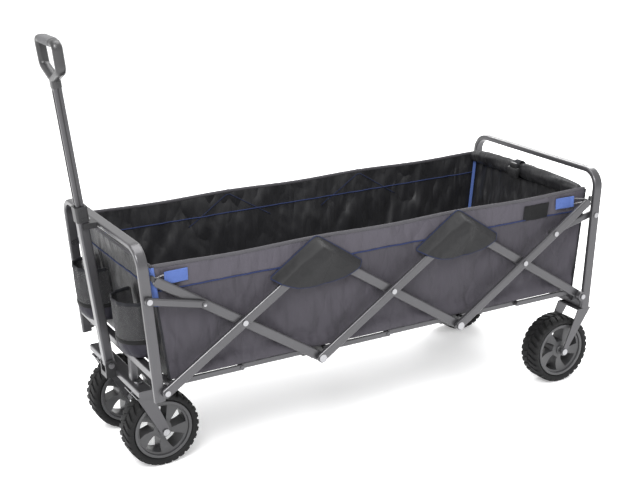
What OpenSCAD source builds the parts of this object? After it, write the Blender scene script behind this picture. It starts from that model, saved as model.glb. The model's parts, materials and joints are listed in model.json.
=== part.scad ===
// Folding beach cart: two end hoops joined by a three-cell scissor frame, with a cloth tub,
// swivelling front wheels, fixed rear wheels and a telescoping pull handle.
// +X points to the rear, +Z up, and the handle is at the -X end.

/* [Scissor frame] */
// Pivot to pivot length of half a scissor arm
arm_half = 247.5; // [244:0.5:250]
// Length from a base pivot to the first crossing
end_half = 243.5; // [242:0.5:245]
// Length from a first crossing to the arm's free upper end
free_half = 244.5; // [243:0.5:246]
// Angle of the arms above the horizontal with the cart open
open_angle = 33.1; // [32.8:0.1:33.4]
// Height of the base pivots above the ground
base_z = 248.5; // [246:0.5:251]
// Width of a scissor arm
arm_w = 24; // [20:1:26]
// Thickness of a scissor arm
arm_t = 11; // [9:0.5:11]
// Distance from the middle plane to the outer face of the outer arms
side_y = 275; // [270:1:280]
// Gap between the two layers of arms
layer_gap = 1.2; // [1:0.1:1.5]
// Radius of a pivot hole
bore_r = 4; // [3.5:0.1:4.5]

/* [End hoops] */
// Outward lean of the hoops in degrees
lean = 4; // [3:0.5:5]
// Top of the hoops
hoop_top = 605.5; // [600:0.5:612]
// Width of the hoop tube along the cart
tube_w = 26; // [24:1:28]
// Thickness of the hoop tube
tube_t = 14; // [12:1:14]
// Inside radius of a hoop corner
hoop_bend = 38; // [30:1:50]

/* [Wheels] */
// Outer radius of a tyre
wheel_r = 95; // [93:1:95]
// Width of a tyre
tyre_w = 66; // [60:1:68]
// Radius where the tyre meets the rim
seat_r = 74; // [70:1:76]
// Distance from the middle plane to a front wheel's centre
caster_y = 121.5; // [120:0.5:123]
// Distance from the middle plane to a rear wheel's centre
rear_wheel_y = 232.5; // [231:0.5:233]
// Distance that a front wheel trails behind its swivel bolt
caster_trail = 48; // [44:1:48]
// Radius of a wheel axle
axle_r = 5; // [4.5:0.1:5.5]

/* [Handle] */
// Forward lean of the handle in degrees
handle_lean = 6.2; // [5.8:0.1:6.4]
// Length of the lower handle tube above its pivot
handle_tube_len = 411; // [405:1:412]
// Distance from the handle's pivot to the foot of the grip, pulled out
grip_foot = 712; // [700:1:720]
// Width across the grip
grip_w = 145; // [110:1:150]

/* [Tub] */
// Height of the tub's upper edge
tub_top = 552; // [548:1:554]
// Underside of the tub's floor
tub_floor = 268; // [267:1:270]
// Outer face of the tub's sides from the middle plane
tub_y = 249.5; // [248:0.5:249.5]
// Thickness of the padded cloth
cloth_t = 5.5; // [4:0.5:6]

/* [Hidden] */
$fn = 48;

// reach of the grip and of the rear hoop past the base pivots; the origin is under the middle of the whole
front_reach = 45.3 + (grip_foot + 109.2) * sin(handle_lean) + 12.3 * cos(handle_lean);
rear_reach = 31 + (tube_w / 2 - 4) * cos(lean) + (hoop_top - base_z - 234.9) * sin(lean) + 4;
mid_x = (front_reach - rear_reach) / 2;
steel = [0.33, 0.34, 0.36];
silver = [0.75, 0.76, 0.78];
plastic = [0.06, 0.06, 0.065];
rubber = [0.05, 0.05, 0.05];
grey_cloth = [0.3, 0.3, 0.33];
dark_cloth = [0.07, 0.07, 0.08];

// scissor pivots as [x, z]: f and r are the base pivots, c the crossings, n low and p high joints
half_span = (end_half + 2 * arm_half) * cos(open_angle);
f = [mid_x - half_span, base_z];
c1 = f + end_half * [cos(open_angle), sin(open_angle)];
n1 = c1 + arm_half * [cos(open_angle), -sin(open_angle)];
p1 = c1 + arm_half * [cos(open_angle), sin(open_angle)];
t1 = c1 + free_half * [-cos(open_angle), sin(open_angle)];
c2 = [mid_x, c1[1]];
function across(q) = [2 * mid_x - q[0], q[1]];
r = across(f);
c3 = across(c1);
n2 = across(n1);
p2 = across(p1);
t3 = across(t1);

// the short link from a hoop to the free half of the end arm
link_s = 120.3;
link_w = 18;
link_post = f + [-31, 230.9];
link_arm = c1 + link_s * [-cos(open_angle), sin(open_angle)];

// layers of the side frame, as distances from the middle plane
outer_in = side_y - arm_t;
inner_out = outer_in - layer_gap;
inner_in = inner_out - arm_t;
rail_out = 248.5;
rail_t = 7.5;
rail_z = 258;
rail_w = 14;
lug_reach = 24;
hub_in = 217;
hub_out = 232;

pin_r = bore_r - 0.05;
head_t = 2.2;
head_r = 7;
hoop_bottom_front = 224;
hoop_bottom_rear = 212.3;
cross_z = 288;
cross_w = 20;
beam_w = 38;
beam_y = 175;
beam_z = [202, 220];
beam_x = f[0] - 15.3;
stub_y = 97;
handle_pivot = [f[0] - 45.3, 234];
handle_outer = [25, 27];
handle_inner = [20, 22];
handle_bore = [21.4, 23.4];
ext_start = 310;
fork_t = 3;
fork_in = tyre_w / 2 + 7;
rear_axle_x = r[0] - 55.7;
post_low = r[0] + 13;
pocket_r = 62;
pocket_y = 140;
pocket_z = [302, 452];

// tub walls in side view: lower and upper edges of the front wall's outer face
wall_low = [f[0] + 16.7, tub_floor];
wall_top = [f[0] - 15.3, tub_top];

// A rectangle centred on the origin with rounded corners
module round_rect(w, h, rad) {
    polygon([for (q = [0:3]) for (k = [0:3])
        [(q == 0 || q == 3 ? 1 : -1) * (w / 2 - rad), (q < 2 ? 1 : -1) * (h / 2 - rad)]
        + rad * [cos(90 * q + 30 * k), sin(90 * q + 30 * k)]]);
}

// Draws its children on both sides of the cart
module both_sides() {
    children();
    mirror([0, 1, 0]) children();
}

// Draws its children, made for the front, at the rear
module at_rear() {
    translate([2 * mid_x, 0, 0]) mirror([1, 0, 0]) children();
}

// A side-view outline given thickness from y = y_in to y_out
module side_plate(y_in, y_out) {
    translate([0, y_out, 0]) rotate([90, 0, 0]) linear_extrude(y_out - y_in) children();
}

// A cylinder along Y at a side-view point
module cross_pin(at, rad, y_in, y_out) {
    translate([at[0], y_out, at[1]]) rotate([90, 0, 0]) cylinder(r = rad, h = y_out - y_in);
}

// A flat bar with round ends and rounded long edges, drilled at distances along it
module bar(from, to, w, y_in, y_out, holes = [], rad = 3.5) {
    run = to - from;
    len = norm(run);
    t = y_out - y_in;
    difference() {
        translate([from[0], y_in, from[1]]) rotate([0, -atan2(run[1], run[0]), 0]) intersection() {
            translate([0, t, 0]) rotate([90, 0, 0]) linear_extrude(t) union() {
                translate([0, -w / 2]) square([len, w]);
                circle(r = w / 2);
                translate([len, 0]) circle(r = w / 2);
            }
            translate([-w, t / 2, 0]) rotate([90, 0, 90]) linear_extrude(len + 2 * w) round_rect(t, w, rad);
        }
        for (d = holes) cross_pin(from + run * d / len, bore_r, y_in - 1, y_out + 1);
    }
}

module outer_bar(from, to, w, holes) {
    bar(from, to, w, outer_in, side_y, holes);
}

module inner_bar(from, to, w, holes) {
    bar(from, to, w, inner_in, inner_out, holes);
}

// A rivet through a pivot, with a head outside and a thin head inside
module rivet(at, y_in, y_out, rad = head_r) {
    cross_pin(at, pin_r, y_in - 1.5, y_out + 1);
    cross_pin(at, rad, y_out + 0.3, y_out + 0.3 + head_t);
    cross_pin(at, rad - 1, y_in - 1.8, y_in - 0.3);
}

// A rivet with one large head whose shaft ends inside a floor hub
module hub_rivet(at) {
    cross_pin(at, pin_r, hub_out - 3, side_y + 1);
    cross_pin(at, 10, side_y + 0.3, side_y + 0.3 + head_t);
}

// An inverted U of flat tube, upright at x = 0, with its posts' outer faces at y_out
module hoop(y_out, bottom, top) {
    mid = hoop_bend + tube_t / 2;
    straight = top - tube_t / 2 - mid;
    both_sides() {
        translate([0, y_out - tube_t / 2, bottom]) linear_extrude(straight - bottom) round_rect(tube_w, tube_t, 4);
        translate([0, y_out - tube_t / 2 - mid, straight]) rotate([90, 0, 90]) rotate_extrude(angle = 90)
            translate([mid, 0]) rotate(90) round_rect(tube_w, tube_t, 4);
    }
    width = 2 * (y_out - tube_t / 2 - mid);
    translate([0, width / 2, top - tube_t / 2]) rotate([90, 0, 0]) linear_extrude(width)
        round_rect(tube_w, tube_t, 4);
}

// Leans its upright children about the link's pivot on the post
module leaning() {
    translate([link_post[0], 0, link_post[1]]) rotate([0, -lean, 0]) translate([0, 0, -link_post[1]]) children();
}

module front_hoop() {
    color(steel) difference() {
        union() {
            leaning() hoop(inner_out, hoop_bottom_front, hoop_top);
            both_sides() cross_pin(f, 14, inner_out - tube_t, inner_out);
        }
        both_sides() {
            cross_pin(f, bore_r, inner_out - 20, inner_out + 1);
            cross_pin(link_post, bore_r, inner_out - 20, inner_out + 1);
        }
    }
}

// A tube between the posts with a strap and a stub at each end that the floor rails turn on
module rail_tube(x, z, w, reach) {
    foot = across([n2[0] + 2 * (c3[0] - n2[0]) - lug_reach, rail_z]);
    run = foot - [x, z];
    translate([x, reach, z]) rotate([90, 0, 0]) linear_extrude(2 * reach) round_rect(w, w, 3);
    both_sides() {
        side_plate(hub_out - 8, hub_out) translate([x, z]) rotate(atan2(run[1], run[0])) union() {
            translate([0, -9]) square([norm(run), 18]);
            translate([norm(run), 0]) circle(r = 9);
        }
        cross_pin(foot, pin_r, hub_out - 1, rail_out + 1);
    }
}

module front_cross_tube() {
    color(steel) rail_tube(beam_x - 2.5, cross_z, cross_w, inner_out - tube_t - 0.2);
}

module front_stubs() {
    color(steel) both_sides() translate([beam_x - 2, stub_y, beam_z[1]])
        linear_extrude(cross_z - cross_w / 2 - beam_z[1]) round_rect(18, 22, 4);
}

module front_beam() {
    color(steel) difference() {
        translate([beam_x, beam_y, (beam_z[0] + beam_z[1]) / 2]) rotate([90, 0, 0])
            linear_extrude(2 * beam_y) round_rect(beam_w, beam_z[1] - beam_z[0], 4);
        both_sides() translate([beam_x, caster_y, beam_z[0] - 5])
            cylinder(r = 6.2, h = beam_z[1] - beam_z[0] + 10);
    }
}

module handle_bracket() {
    color(plastic) difference() {
        union() {
            translate([handle_pivot[0] - 14, -20, beam_z[0]]) cube([beam_x - beam_w / 2 - handle_pivot[0] + 13.8, 40, 13.5]);
            both_sides() side_plate(14.2, 20) union() {
                translate(handle_pivot) circle(r = 15);
                translate([handle_pivot[0] - 14, beam_z[0]]) square([24, handle_pivot[1] - beam_z[0]]);
            }
        }
        cross_pin(handle_pivot, bore_r, -30, 30);
    }
}

module handle_clip() {
    z = hoop_top - 14;
    color(plastic) difference() {
        translate([link_post[0] - 58, -18.5, z]) cube([58 - tube_w / 2 - 10, 37, 14]);
        translate([link_post[0] - 70, -14, z - 1]) cube([30.5, 28, 16]);
    }
}

module front_rivets() {
    color(silver) both_sides() {
        rivet(f, inner_out - tube_t, side_y);
        rivet(link_post, inner_out - tube_t, side_y);
    }
}

// Swivel bolts of the front wheels and the handle's pivot bolt
module front_bolts() {
    color(silver) {
        both_sides() translate([beam_x, caster_y, 0]) {
            translate([0, 0, beam_z[0] - 13]) cylinder(r = 6, h = beam_z[1] - beam_z[0] + 15);
            translate([0, 0, beam_z[1] + 0.3]) cylinder(r = 10, h = 5);
            translate([0, 0, beam_z[0] - 15]) cylinder(r = 9, h = 6.5);
        }
        cross_pin(handle_pivot, pin_r, -22, 22);
        both_sides() cross_pin(handle_pivot, 7.5, 20.3, 23.5);
    }
}

// Places its children along the handle: z is the distance from the pivot
module along_handle() {
    translate([handle_pivot[0], 0, handle_pivot[1]]) rotate([0, -handle_lean, 0]) children();
}

module handle_tube() {
    color(steel) along_handle() difference() {
        union() {
            linear_extrude(handle_tube_len) round_rect(handle_outer[0], handle_outer[1], 4);
            translate([0, handle_outer[1] / 2, 0]) rotate([90, 0, 0])
                cylinder(r = handle_outer[0] / 2, h = handle_outer[1]);
        }
        translate([0, 0, 25]) linear_extrude(handle_tube_len) round_rect(handle_bore[0], handle_bore[1], 3);
        translate([0, 20, 0]) rotate([90, 0, 0]) cylinder(r = bore_r, h = 40);
    }
}

module handle_collar() {
    color(plastic) along_handle() {
        difference() {
            translate([0, 0, handle_tube_len - 34]) linear_extrude(38) round_rect(31, 33, 5);
            translate([0, 0, handle_tube_len - 40]) linear_extrude(40.2)
                round_rect(handle_outer[0] + 0.2, handle_outer[1] + 0.2, 4);
            translate([0, 0, handle_tube_len]) linear_extrude(10) round_rect(handle_bore[0], handle_bore[1], 3);
        }
        for (z = [handle_tube_len - 26, handle_tube_len - 8]) translate([0, -16.3, z]) rotate([90, 0, 0])
            cylinder(r = 3.5, h = 1.5);
    }
}

module handle_extension() {
    groove = [9, 1.5];
    color(steel) along_handle() translate([0, 0, ext_start]) difference() {
        linear_extrude(grip_foot - ext_start + 6) round_rect(handle_inner[0], handle_inner[1], 3);
        for (a = [0:90:270]) rotate(a) translate([(a % 180 == 0 ? handle_inner[0] : handle_inner[1]) / 2 - groove[1], -groove[0] / 2, -1])
            cube([5, groove[0], grip_foot - ext_start - 14]);
    }
}

// The D-shaped loop seen from the front, as its outer or inner outline
module grip_outline(inset) {
    hull() {
        for (s = [-1, 1]) {
            translate([s * (grip_w / 2 - 20), 88]) circle(r = 20 - inset, $fn = 32);
            translate([s * (grip_w / 2 - 28), 48]) circle(r = 26 - inset, $fn = 32);
        }
        translate([0, inset > 0 ? 38 : 22]) circle(r = inset > 0 ? 14 : 20, $fn = 32);
    }
}

module handle_grip() {
    color(plastic) along_handle() translate([0, 0, grip_foot]) difference() {
        union() {
            rotate([90, 0, 90]) translate([0, 0, -11.5]) linear_extrude(23) grip_outline(0);
            translate([0, 0, -8]) linear_extrude(26) round_rect(30, 34, 6);
        }
        rotate([90, 0, 90]) translate([0, 0, -20]) linear_extrude(40) grip_outline(16.5);
        translate([0, 0, -20]) linear_extrude(26.5) round_rect(handle_inner[0] + 0.2, handle_inner[1] + 0.2, 3);
        translate([-13, -37, 91]) cube([26, 74, 20]);
    }
}

module grip_insert() {
    color([0.3, 0.3, 0.31]) along_handle() translate([-12.3, -36.8, grip_foot + 91.2]) cube([24.6, 73.6, 18]);
}

// One side plate of a fork, from a corner pair at the top to the axle
module fork_plate(top_a, top_b, z_top, axle, y_in) {
    reach = 12;
    side_plate(y_in, y_in + fork_t) difference() {
        union() {
            polygon([
                [top_a, z_top], [top_b, z_top],
                axle + reach * [cos(20), sin(20)], axle + reach * [cos(70), sin(-70)],
                axle + reach * [-cos(40), sin(-40)]
            ]);
            translate(axle) circle(r = reach);
        }
        translate(axle) circle(r = axle_r + 0.05);
    }
}

module caster_fork(side) {
    axle = [beam_x + caster_trail, wheel_r];
    top = beam_z[0] - 4;
    color(steel) translate([0, side * caster_y, 0]) {
        for (y_in = [-fork_in - fork_t, fork_in]) fork_plate(beam_x - 20, beam_x + 20, top, axle, y_in);
        difference() {
            translate([beam_x - 20, -fork_in - fork_t, top - fork_t]) cube([40, 2 * (fork_in + fork_t), fork_t]);
            translate([beam_x, 0, top - 10]) cylinder(r = 6.05, h = 20);
        }
        difference() {
            translate([beam_x, 0, top]) cylinder(r = 19, h = 3.6);
            translate([beam_x, 0, top - 10]) cylinder(r = 6.05, h = 20);
        }
    }
}

module caster_fork_left() {
    caster_fork(-1);
}

module caster_fork_right() {
    caster_fork(1);
}

// A bolt along Y through a fork, with a head and a nut
module axle(at, y_mid, out) {
    cross_pin(at, axle_r, y_mid - fork_in - fork_t - 4, y_mid + fork_in + fork_t + 4);
    for (s = [-1, 1]) {
        face = y_mid + s * (fork_in + fork_t + 0.3);
        cross_pin(at, 8.5, min(face, face + s * 4), max(face, face + s * 4));
    }
}

module front_axle_left() {
    color(silver) axle([beam_x + caster_trail, wheel_r], -caster_y);
}

module front_axle_right() {
    color(silver) axle([beam_x + caster_trail, wheel_r], caster_y);
}

// Turns a profile drawn as [radius, distance across] about a wheel's axle
module about_axle(x, y) {
    translate([x, y, wheel_r]) rotate([90, 0, 0]) rotate_extrude($fn = 96) children();
}

module tyre(x, y) {
    h = tyre_w / 2;
    color(rubber) about_axle(x, y) polygon([
        [seat_r + 0.1, -h + 6], [seat_r + 4, -h + 2], [wheel_r - 9, -h], [wheel_r - 1.5, -h + 7], [wheel_r, -h + 14],
        [wheel_r, h - 14], [wheel_r - 1.5, h - 7], [wheel_r - 9, h], [seat_r + 4, h - 2], [seat_r + 0.1, h - 6]
    ]);
}

module rim(x, y) {
    h = tyre_w / 2 - 6;
    hub_r = 24;
    ring_t = 8;
    spoke_w = 26;
    color([0.2, 0.2, 0.21]) difference() {
        union() {
            about_axle(x, y) polygon([[seat_r - ring_t, -h], [seat_r, -h], [seat_r, h], [seat_r - ring_t, h]]);
            translate([x, y + h + 4, wheel_r]) rotate([90, 0, 0]) cylinder(r = hub_r, h = 2 * h + 8);
            translate([x, y, wheel_r]) for (a = [18:72:306]) rotate([0, a, 0])
                translate([hub_r / 2, -h + 5, -spoke_w / 2])
                    cube([seat_r - 6 - hub_r / 2, 2 * h - 10, spoke_w]);
        }
        cross_pin([x, wheel_r], axle_r + 0.06, y - tyre_w, y + tyre_w);
    }
}

module tyre_front_left() {
    tyre(beam_x + caster_trail, -caster_y);
}

module tyre_front_right() {
    tyre(beam_x + caster_trail, caster_y);
}

module tyre_rear_left() {
    tyre(rear_axle_x, -rear_wheel_y);
}

module tyre_rear_right() {
    tyre(rear_axle_x, rear_wheel_y);
}

module rim_front_left() {
    rim(beam_x + caster_trail, -caster_y);
}

module rim_front_right() {
    rim(beam_x + caster_trail, caster_y);
}

module rim_rear_left() {
    rim(rear_axle_x, -rear_wheel_y);
}

module rim_rear_right() {
    rim(rear_axle_x, rear_wheel_y);
}

module rear_hoop() {
    y_out = outer_in + tube_t;
    color(steel) difference() {
        union() {
            at_rear() leaning() hoop(y_out, hoop_bottom_rear, hoop_top);
            both_sides() cross_pin(r, 14, outer_in + 0.5, y_out - 0.5);
        }
        both_sides() {
            cross_pin(r, bore_r, outer_in - 1, y_out + 1);
            cross_pin(across(link_post), bore_r, outer_in - 1, y_out + 1);
        }
    }
}

module rear_crossbar() {
    w = 23.5;
    color(steel) at_rear() rail_tube(2 * mid_x - post_low, hoop_bottom_rear + w / 2, w, outer_in - 0.2);
}

module rear_forks() {
    top = hoop_bottom_rear - 0.5;
    color(steel) both_sides() translate([0, rear_wheel_y, 0]) {
        for (y_in = [-fork_in - fork_t, fork_in])
            fork_plate(post_low - 25, post_low + 19, top, [rear_axle_x, wheel_r], y_in);
        translate([post_low - 25, -fork_in - fork_t, top - fork_t]) cube([44, 2 * (fork_in + fork_t), fork_t]);
    }
}

module rear_axles() {
    color(silver) for (s = [-1, 1]) axle([rear_axle_x, wheel_r], s * rear_wheel_y);
}

module rear_rivets() {
    color(silver) both_sides() {
        rivet(r, inner_in, outer_in + tube_t);
        rivet(across(link_post), inner_in, outer_in + tube_t);
    }
}

module arms_a1() {
    color(steel) both_sides() outer_bar(f, p1, arm_w, [0, end_half, end_half + arm_half]);
}

module arms_b1() {
    color(steel) both_sides() inner_bar(t1, n1, arm_w, [free_half, free_half + arm_half]);
}

module arms_a2() {
    color(steel) both_sides() outer_bar(n1, p2, arm_w, [0, arm_half, 2 * arm_half]);
}

module arms_b2() {
    color(steel) both_sides() inner_bar(p1, n2, arm_w, [0, arm_half, 2 * arm_half]);
}

module arms_a3() {
    color(steel) both_sides() outer_bar(n2, t3, arm_w, [0, arm_half, arm_half + link_s]);
}

module arms_b3() {
    color(steel) both_sides() inner_bar(p2, r, arm_w, [0, arm_half, arm_half + end_half]);
}

// The front links lie outside; the rivet head at the arm end is part of the link
module links_front() {
    color(steel) both_sides() {
        outer_bar(link_post, link_arm, link_w, [0]);
        cross_pin(link_arm, head_r, side_y - 1, side_y + head_t);
    }
}

module links_rear() {
    color(steel) both_sides()
        inner_bar(across(link_post), across(link_arm), link_w, [0]);
}

module rivets_a1() {
    color(silver) both_sides() {
        rivet(c1, inner_in, side_y);
        rivet(p1, inner_in, side_y);
    }
}

module rivets_a2() {
    color(silver) both_sides() {
        rivet(c2, inner_in, side_y);
        rivet(p2, inner_in, side_y);
        hub_rivet(n1);
    }
}

module rivets_a3() {
    color(silver) both_sides() {
        rivet(c3, inner_in, side_y);
        hub_rivet(n2);
        cross_pin(across(link_arm), head_r, side_y + 0.3, side_y + 0.3 + head_t);
        cross_pin(across(link_arm), pin_r, outer_in + 0.5, side_y + 1);
    }
}

// The plastic cap on a free arm end, with the spigot that holds the tub's corner
module end_plug(at, y_in, y_out) {
    out = (at[0] < mid_x ? -1 : 1);
    tip = at + (arm_w / 2 + 4.7) * [out * cos(open_angle), sin(open_angle)];
    bar(tip, tip + [0, 6], 9, y_in + 1, y_out - 1, [], 2);
}

module end_plugs_front() {
    color(plastic) both_sides() end_plug(t1, inner_in, inner_out);
}

module end_plugs_rear() {
    color(plastic) both_sides() end_plug(t3, outer_in, side_y);
}

// Half of a floor rail from its stub to the middle, in the outer or inner rail layer
module rail(from, to, outer) {
    y_out = outer ? rail_out : rail_out - rail_t - 0.5;
    both_sides() {
        bar(from, to, rail_w, y_out - rail_t, y_out, [0], 2);
        if (outer) cross_pin(to, 5.5, y_out - 1, y_out + head_t);
    }
}

module rail_front_a() {
    color(steel) rail([2 * c1[0] - n1[0] + lug_reach, rail_z], [c1[0], rail_z], true);
}

module rail_front_b() {
    color(steel) rail([n1[0] - lug_reach, rail_z], [c1[0], rail_z], false);
}

module rail_middle_a() {
    color(steel) rail([n1[0] + lug_reach, rail_z], [c2[0], rail_z], true);
}

module rail_middle_b() {
    color(steel) rail([n2[0] - lug_reach, rail_z], [c2[0], rail_z], false);
}

module rail_rear_a() {
    color(steel) rail([2 * c3[0] - n2[0] - lug_reach, rail_z], [c3[0], rail_z], true);
}

module rail_rear_b() {
    color(steel) rail([n2[0] + lug_reach, rail_z], [c3[0], rail_z], false);
}

// Plastic hubs at a low joint, with stubs for the floor rails
module floor_hubs(n) {
    color(plastic) both_sides() difference() {
        union() {
            side_plate(hub_in, hub_out - 2) union() {
                translate(n) circle(r = 16);
                translate(n + [-lug_reach - 9, -4]) square([2 * (lug_reach + 9), rail_z + 13 - n[1]]);
            }
            cross_pin(n, 9, hub_in, inner_in - 0.6);
            for (s = [-1, 1]) cross_pin([n[0] + s * lug_reach, rail_z], pin_r, hub_out - 3, rail_out + 1);
        }
        cross_pin(n, bore_r, hub_out - 4, inner_in + 1);
    }
}

module floor_hubs_front() {
    floor_hubs(n1);
}

module floor_hubs_rear() {
    floor_hubs(n2);
}

module floor_bar(n) {
    color(steel) translate([n[0], hub_in - 0.1, n[1]]) rotate([90, 0, 0])
        linear_extrude(2 * hub_in - 0.2) round_rect(20, 20, 3);
}

module floor_bar_front() {
    floor_bar(n1);
}

module floor_bar_rear() {
    floor_bar(n2);
}

module tub_sides() {
    color(grey_cloth) both_sides() side_plate(tub_y - cloth_t, tub_y)
        polygon([wall_low, across(wall_low), across(wall_top), wall_top]);
}

module tub_floor_mat() {
    len = 2 * (mid_x - wall_low[0]) - 2 * cloth_t;
    width = 2 * (tub_y - cloth_t - 0.5);
    color(dark_cloth) translate([mid_x - len / 2, -width / 2, tub_floor]) cube([len, width, 4]);
}

// The cloth end wall that leans with the hoop, clear of the floor rails and their straps
module end_wall() {
    half = tub_y - 9.5;
    foot = wall_low + 0.035 * (wall_top - wall_low);
    side_plate(-half, half) polygon([foot, foot + [cloth_t - 0.8, 0], wall_top + [cloth_t - 0.8, 0], wall_top]);
}

module tub_front() {
    color(dark_cloth) end_wall();
}

module tub_rear() {
    color(dark_cloth) at_rear() end_wall();
}

// Two cups of cloth on the front wall, open at the top
module bottle_pockets() {
    tall = pocket_z[1] - pocket_z[0];
    color(dark_cloth) both_sides() translate([wall_low[0] - 26, pocket_y, pocket_z[0]]) difference() {
        intersection() {
            cylinder(r = pocket_r, h = tall);
            translate([-100, -100, -1]) cube([95, 200, tall + 2]);
        }
        intersection() {
            translate([0, 0, 4]) cylinder(r = pocket_r - 3, h = tall);
            translate([-100, -100, 0]) cube([92, 200, 2 * tall]);
        }
    }
}

// A pointed cloth flap that hangs over a high joint, and the strip that joins it to the tub's edge
module flaps(p) {
    top = tub_top + 6;
    y_in = side_y + 3.5;
    color(dark_cloth) both_sides() {
        side_plate(y_in, y_in + 3) polygon([
            p + [-14, top - p[1]], p + [14, top - p[1]], p + [128, -40], p + [118, -54], p + [0, -83],
            p + [-118, -54], p + [-128, -40]
        ]);
        translate([p[0] - 14, tub_y + 0.6, top - 3]) cube([28, y_in - tub_y - 0.4, 3]);
    }
}

module flaps_front() {
    flaps(p1);
}

module flaps_rear() {
    flaps(p2);
}

front_hoop();
front_cross_tube();
front_stubs();
front_beam();
handle_bracket();
handle_clip();
front_rivets();
front_bolts();
handle_tube();
handle_collar();
handle_extension();
handle_grip();
grip_insert();
caster_fork_left();
caster_fork_right();
front_axle_left();
front_axle_right();
tyre_front_left();
tyre_front_right();
tyre_rear_left();
tyre_rear_right();
rim_front_left();
rim_front_right();
rim_rear_left();
rim_rear_right();
rear_hoop();
rear_crossbar();
rear_forks();
rear_axles();
rear_rivets();
arms_a1();
arms_b1();
arms_a2();
arms_b2();
arms_a3();
arms_b3();
links_front();
links_rear();
rivets_a1();
rivets_a2();
rivets_a3();
end_plugs_front();
end_plugs_rear();
rail_front_a();
rail_front_b();
rail_middle_a();
rail_middle_b();
rail_rear_a();
rail_rear_b();
floor_hubs_front();
floor_hubs_rear();
floor_bar_front();
floor_bar_rear();
tub_sides();
tub_floor_mat();
tub_front();
tub_rear();
bottle_pockets();
flaps_front();
flaps_rear();
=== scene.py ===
"""Looks of a folding beach cart: painted steel, zinc, rubber, moulded plastic and a sewn cloth tub.

Lengths are in metres. +X points to the rear (push bar) end, +Y is the cart's right and +Z is up.
"""

from __future__ import annotations

import functools
import json
import logging
import math
from collections.abc import Callable, Iterable, Mapping, Sequence
from dataclasses import dataclass, field
from enum import Enum

import bmesh
import bpy
from mathutils import Matrix, Vector, noise
from mathutils.bvhtree import BVHTree

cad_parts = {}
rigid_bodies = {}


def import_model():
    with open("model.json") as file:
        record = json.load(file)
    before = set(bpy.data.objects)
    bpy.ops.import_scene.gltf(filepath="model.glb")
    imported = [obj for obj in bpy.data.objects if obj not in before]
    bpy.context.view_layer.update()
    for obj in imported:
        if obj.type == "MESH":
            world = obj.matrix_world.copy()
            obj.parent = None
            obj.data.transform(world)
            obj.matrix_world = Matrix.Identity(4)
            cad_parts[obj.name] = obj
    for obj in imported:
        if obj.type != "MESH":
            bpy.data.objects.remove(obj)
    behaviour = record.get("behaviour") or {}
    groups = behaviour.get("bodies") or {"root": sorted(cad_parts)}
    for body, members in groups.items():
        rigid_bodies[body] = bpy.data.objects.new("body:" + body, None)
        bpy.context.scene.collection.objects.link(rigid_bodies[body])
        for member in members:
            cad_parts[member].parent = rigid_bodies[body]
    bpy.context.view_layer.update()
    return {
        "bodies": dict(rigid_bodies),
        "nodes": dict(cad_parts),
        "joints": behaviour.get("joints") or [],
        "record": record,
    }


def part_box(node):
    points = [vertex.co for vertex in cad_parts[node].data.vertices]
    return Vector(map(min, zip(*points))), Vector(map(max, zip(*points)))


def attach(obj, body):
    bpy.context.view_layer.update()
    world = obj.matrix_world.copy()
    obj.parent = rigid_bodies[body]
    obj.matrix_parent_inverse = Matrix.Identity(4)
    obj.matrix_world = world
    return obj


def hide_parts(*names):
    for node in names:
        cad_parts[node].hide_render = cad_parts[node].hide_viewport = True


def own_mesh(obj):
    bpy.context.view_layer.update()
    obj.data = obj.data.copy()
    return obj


log = logging.getLogger("beach_cart")
Colour = tuple[float, float, float]
Place = Callable[[float, float], Vector]


class Side(Enum):
    """The two long sides of the cart, as the sign of Y."""

    LEFT = -1
    RIGHT = 1

    @property
    def label(self) -> str:
        """The side's name as it stands in the pieces' names."""
        return self.name.lower()


class End(Enum):
    """The two ends of the cart, as the sign of X."""

    FRONT = -1
    REAR = 1

    @property
    def label(self) -> str:
        """The end's name as it stands in the pieces' names."""
        return self.name.lower()


# ---------------------------------------------------------------- shader maths


class Num:
    """A number inside a material. Arithmetic on it adds Math nodes."""

    def __init__(self, graph: Graph, socket: bpy.types.NodeSocket) -> None:
        """Wraps a node's output socket."""
        self.graph = graph
        self.socket = socket

    def _math(self, operation: str, *values: object) -> Num:
        """Adds one Math node.

        Args:
            operation: the node's operation.
            values: numbers or Nums for its inputs, in order.

        Returns:
            The node's result.
        """
        made = self.graph.node("ShaderNodeMath", {"operation": operation}, dict(enumerate(values)))
        return Num(self.graph, made.outputs[0])

    def __add__(self, other: object) -> Num:
        """self + other."""
        return self._math("ADD", self, other)

    def __sub__(self, other: object) -> Num:
        """self - other."""
        return self._math("SUBTRACT", self, other)

    def __rsub__(self, other: object) -> Num:
        """other - self."""
        return self._math("SUBTRACT", other, self)

    def __mul__(self, other: object) -> Num:
        """self * other."""
        return self._math("MULTIPLY", self, other)

    def __pow__(self, other: object) -> Num:
        """self to the power of other."""
        return self._math("POWER", self, other)

    __radd__ = __add__
    __rmul__ = __mul__

    def absolute(self) -> Num:
        """The distance from zero."""
        return self._math("ABSOLUTE", self)

    def sine(self) -> Num:
        """The sine of an angle in radians."""
        return self._math("SINE", self)

    def most(self, other: object) -> Num:
        """The larger of the two."""
        return self._math("MAXIMUM", self, other)

    def least(self, other: object) -> Num:
        """The smaller of the two."""
        return self._math("MINIMUM", self, other)

    def rise(self, low: float, high: float) -> Num:
        """Goes smoothly from 0 at low to 1 at high."""
        made = self.graph.node(
            "ShaderNodeMapRange",
            {"interpolation_type": "SMOOTHSTEP", "clamp": True},
            {"Value": self, "From Min": low, "From Max": high},
        )
        return Num(self.graph, made.outputs[0])


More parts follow.
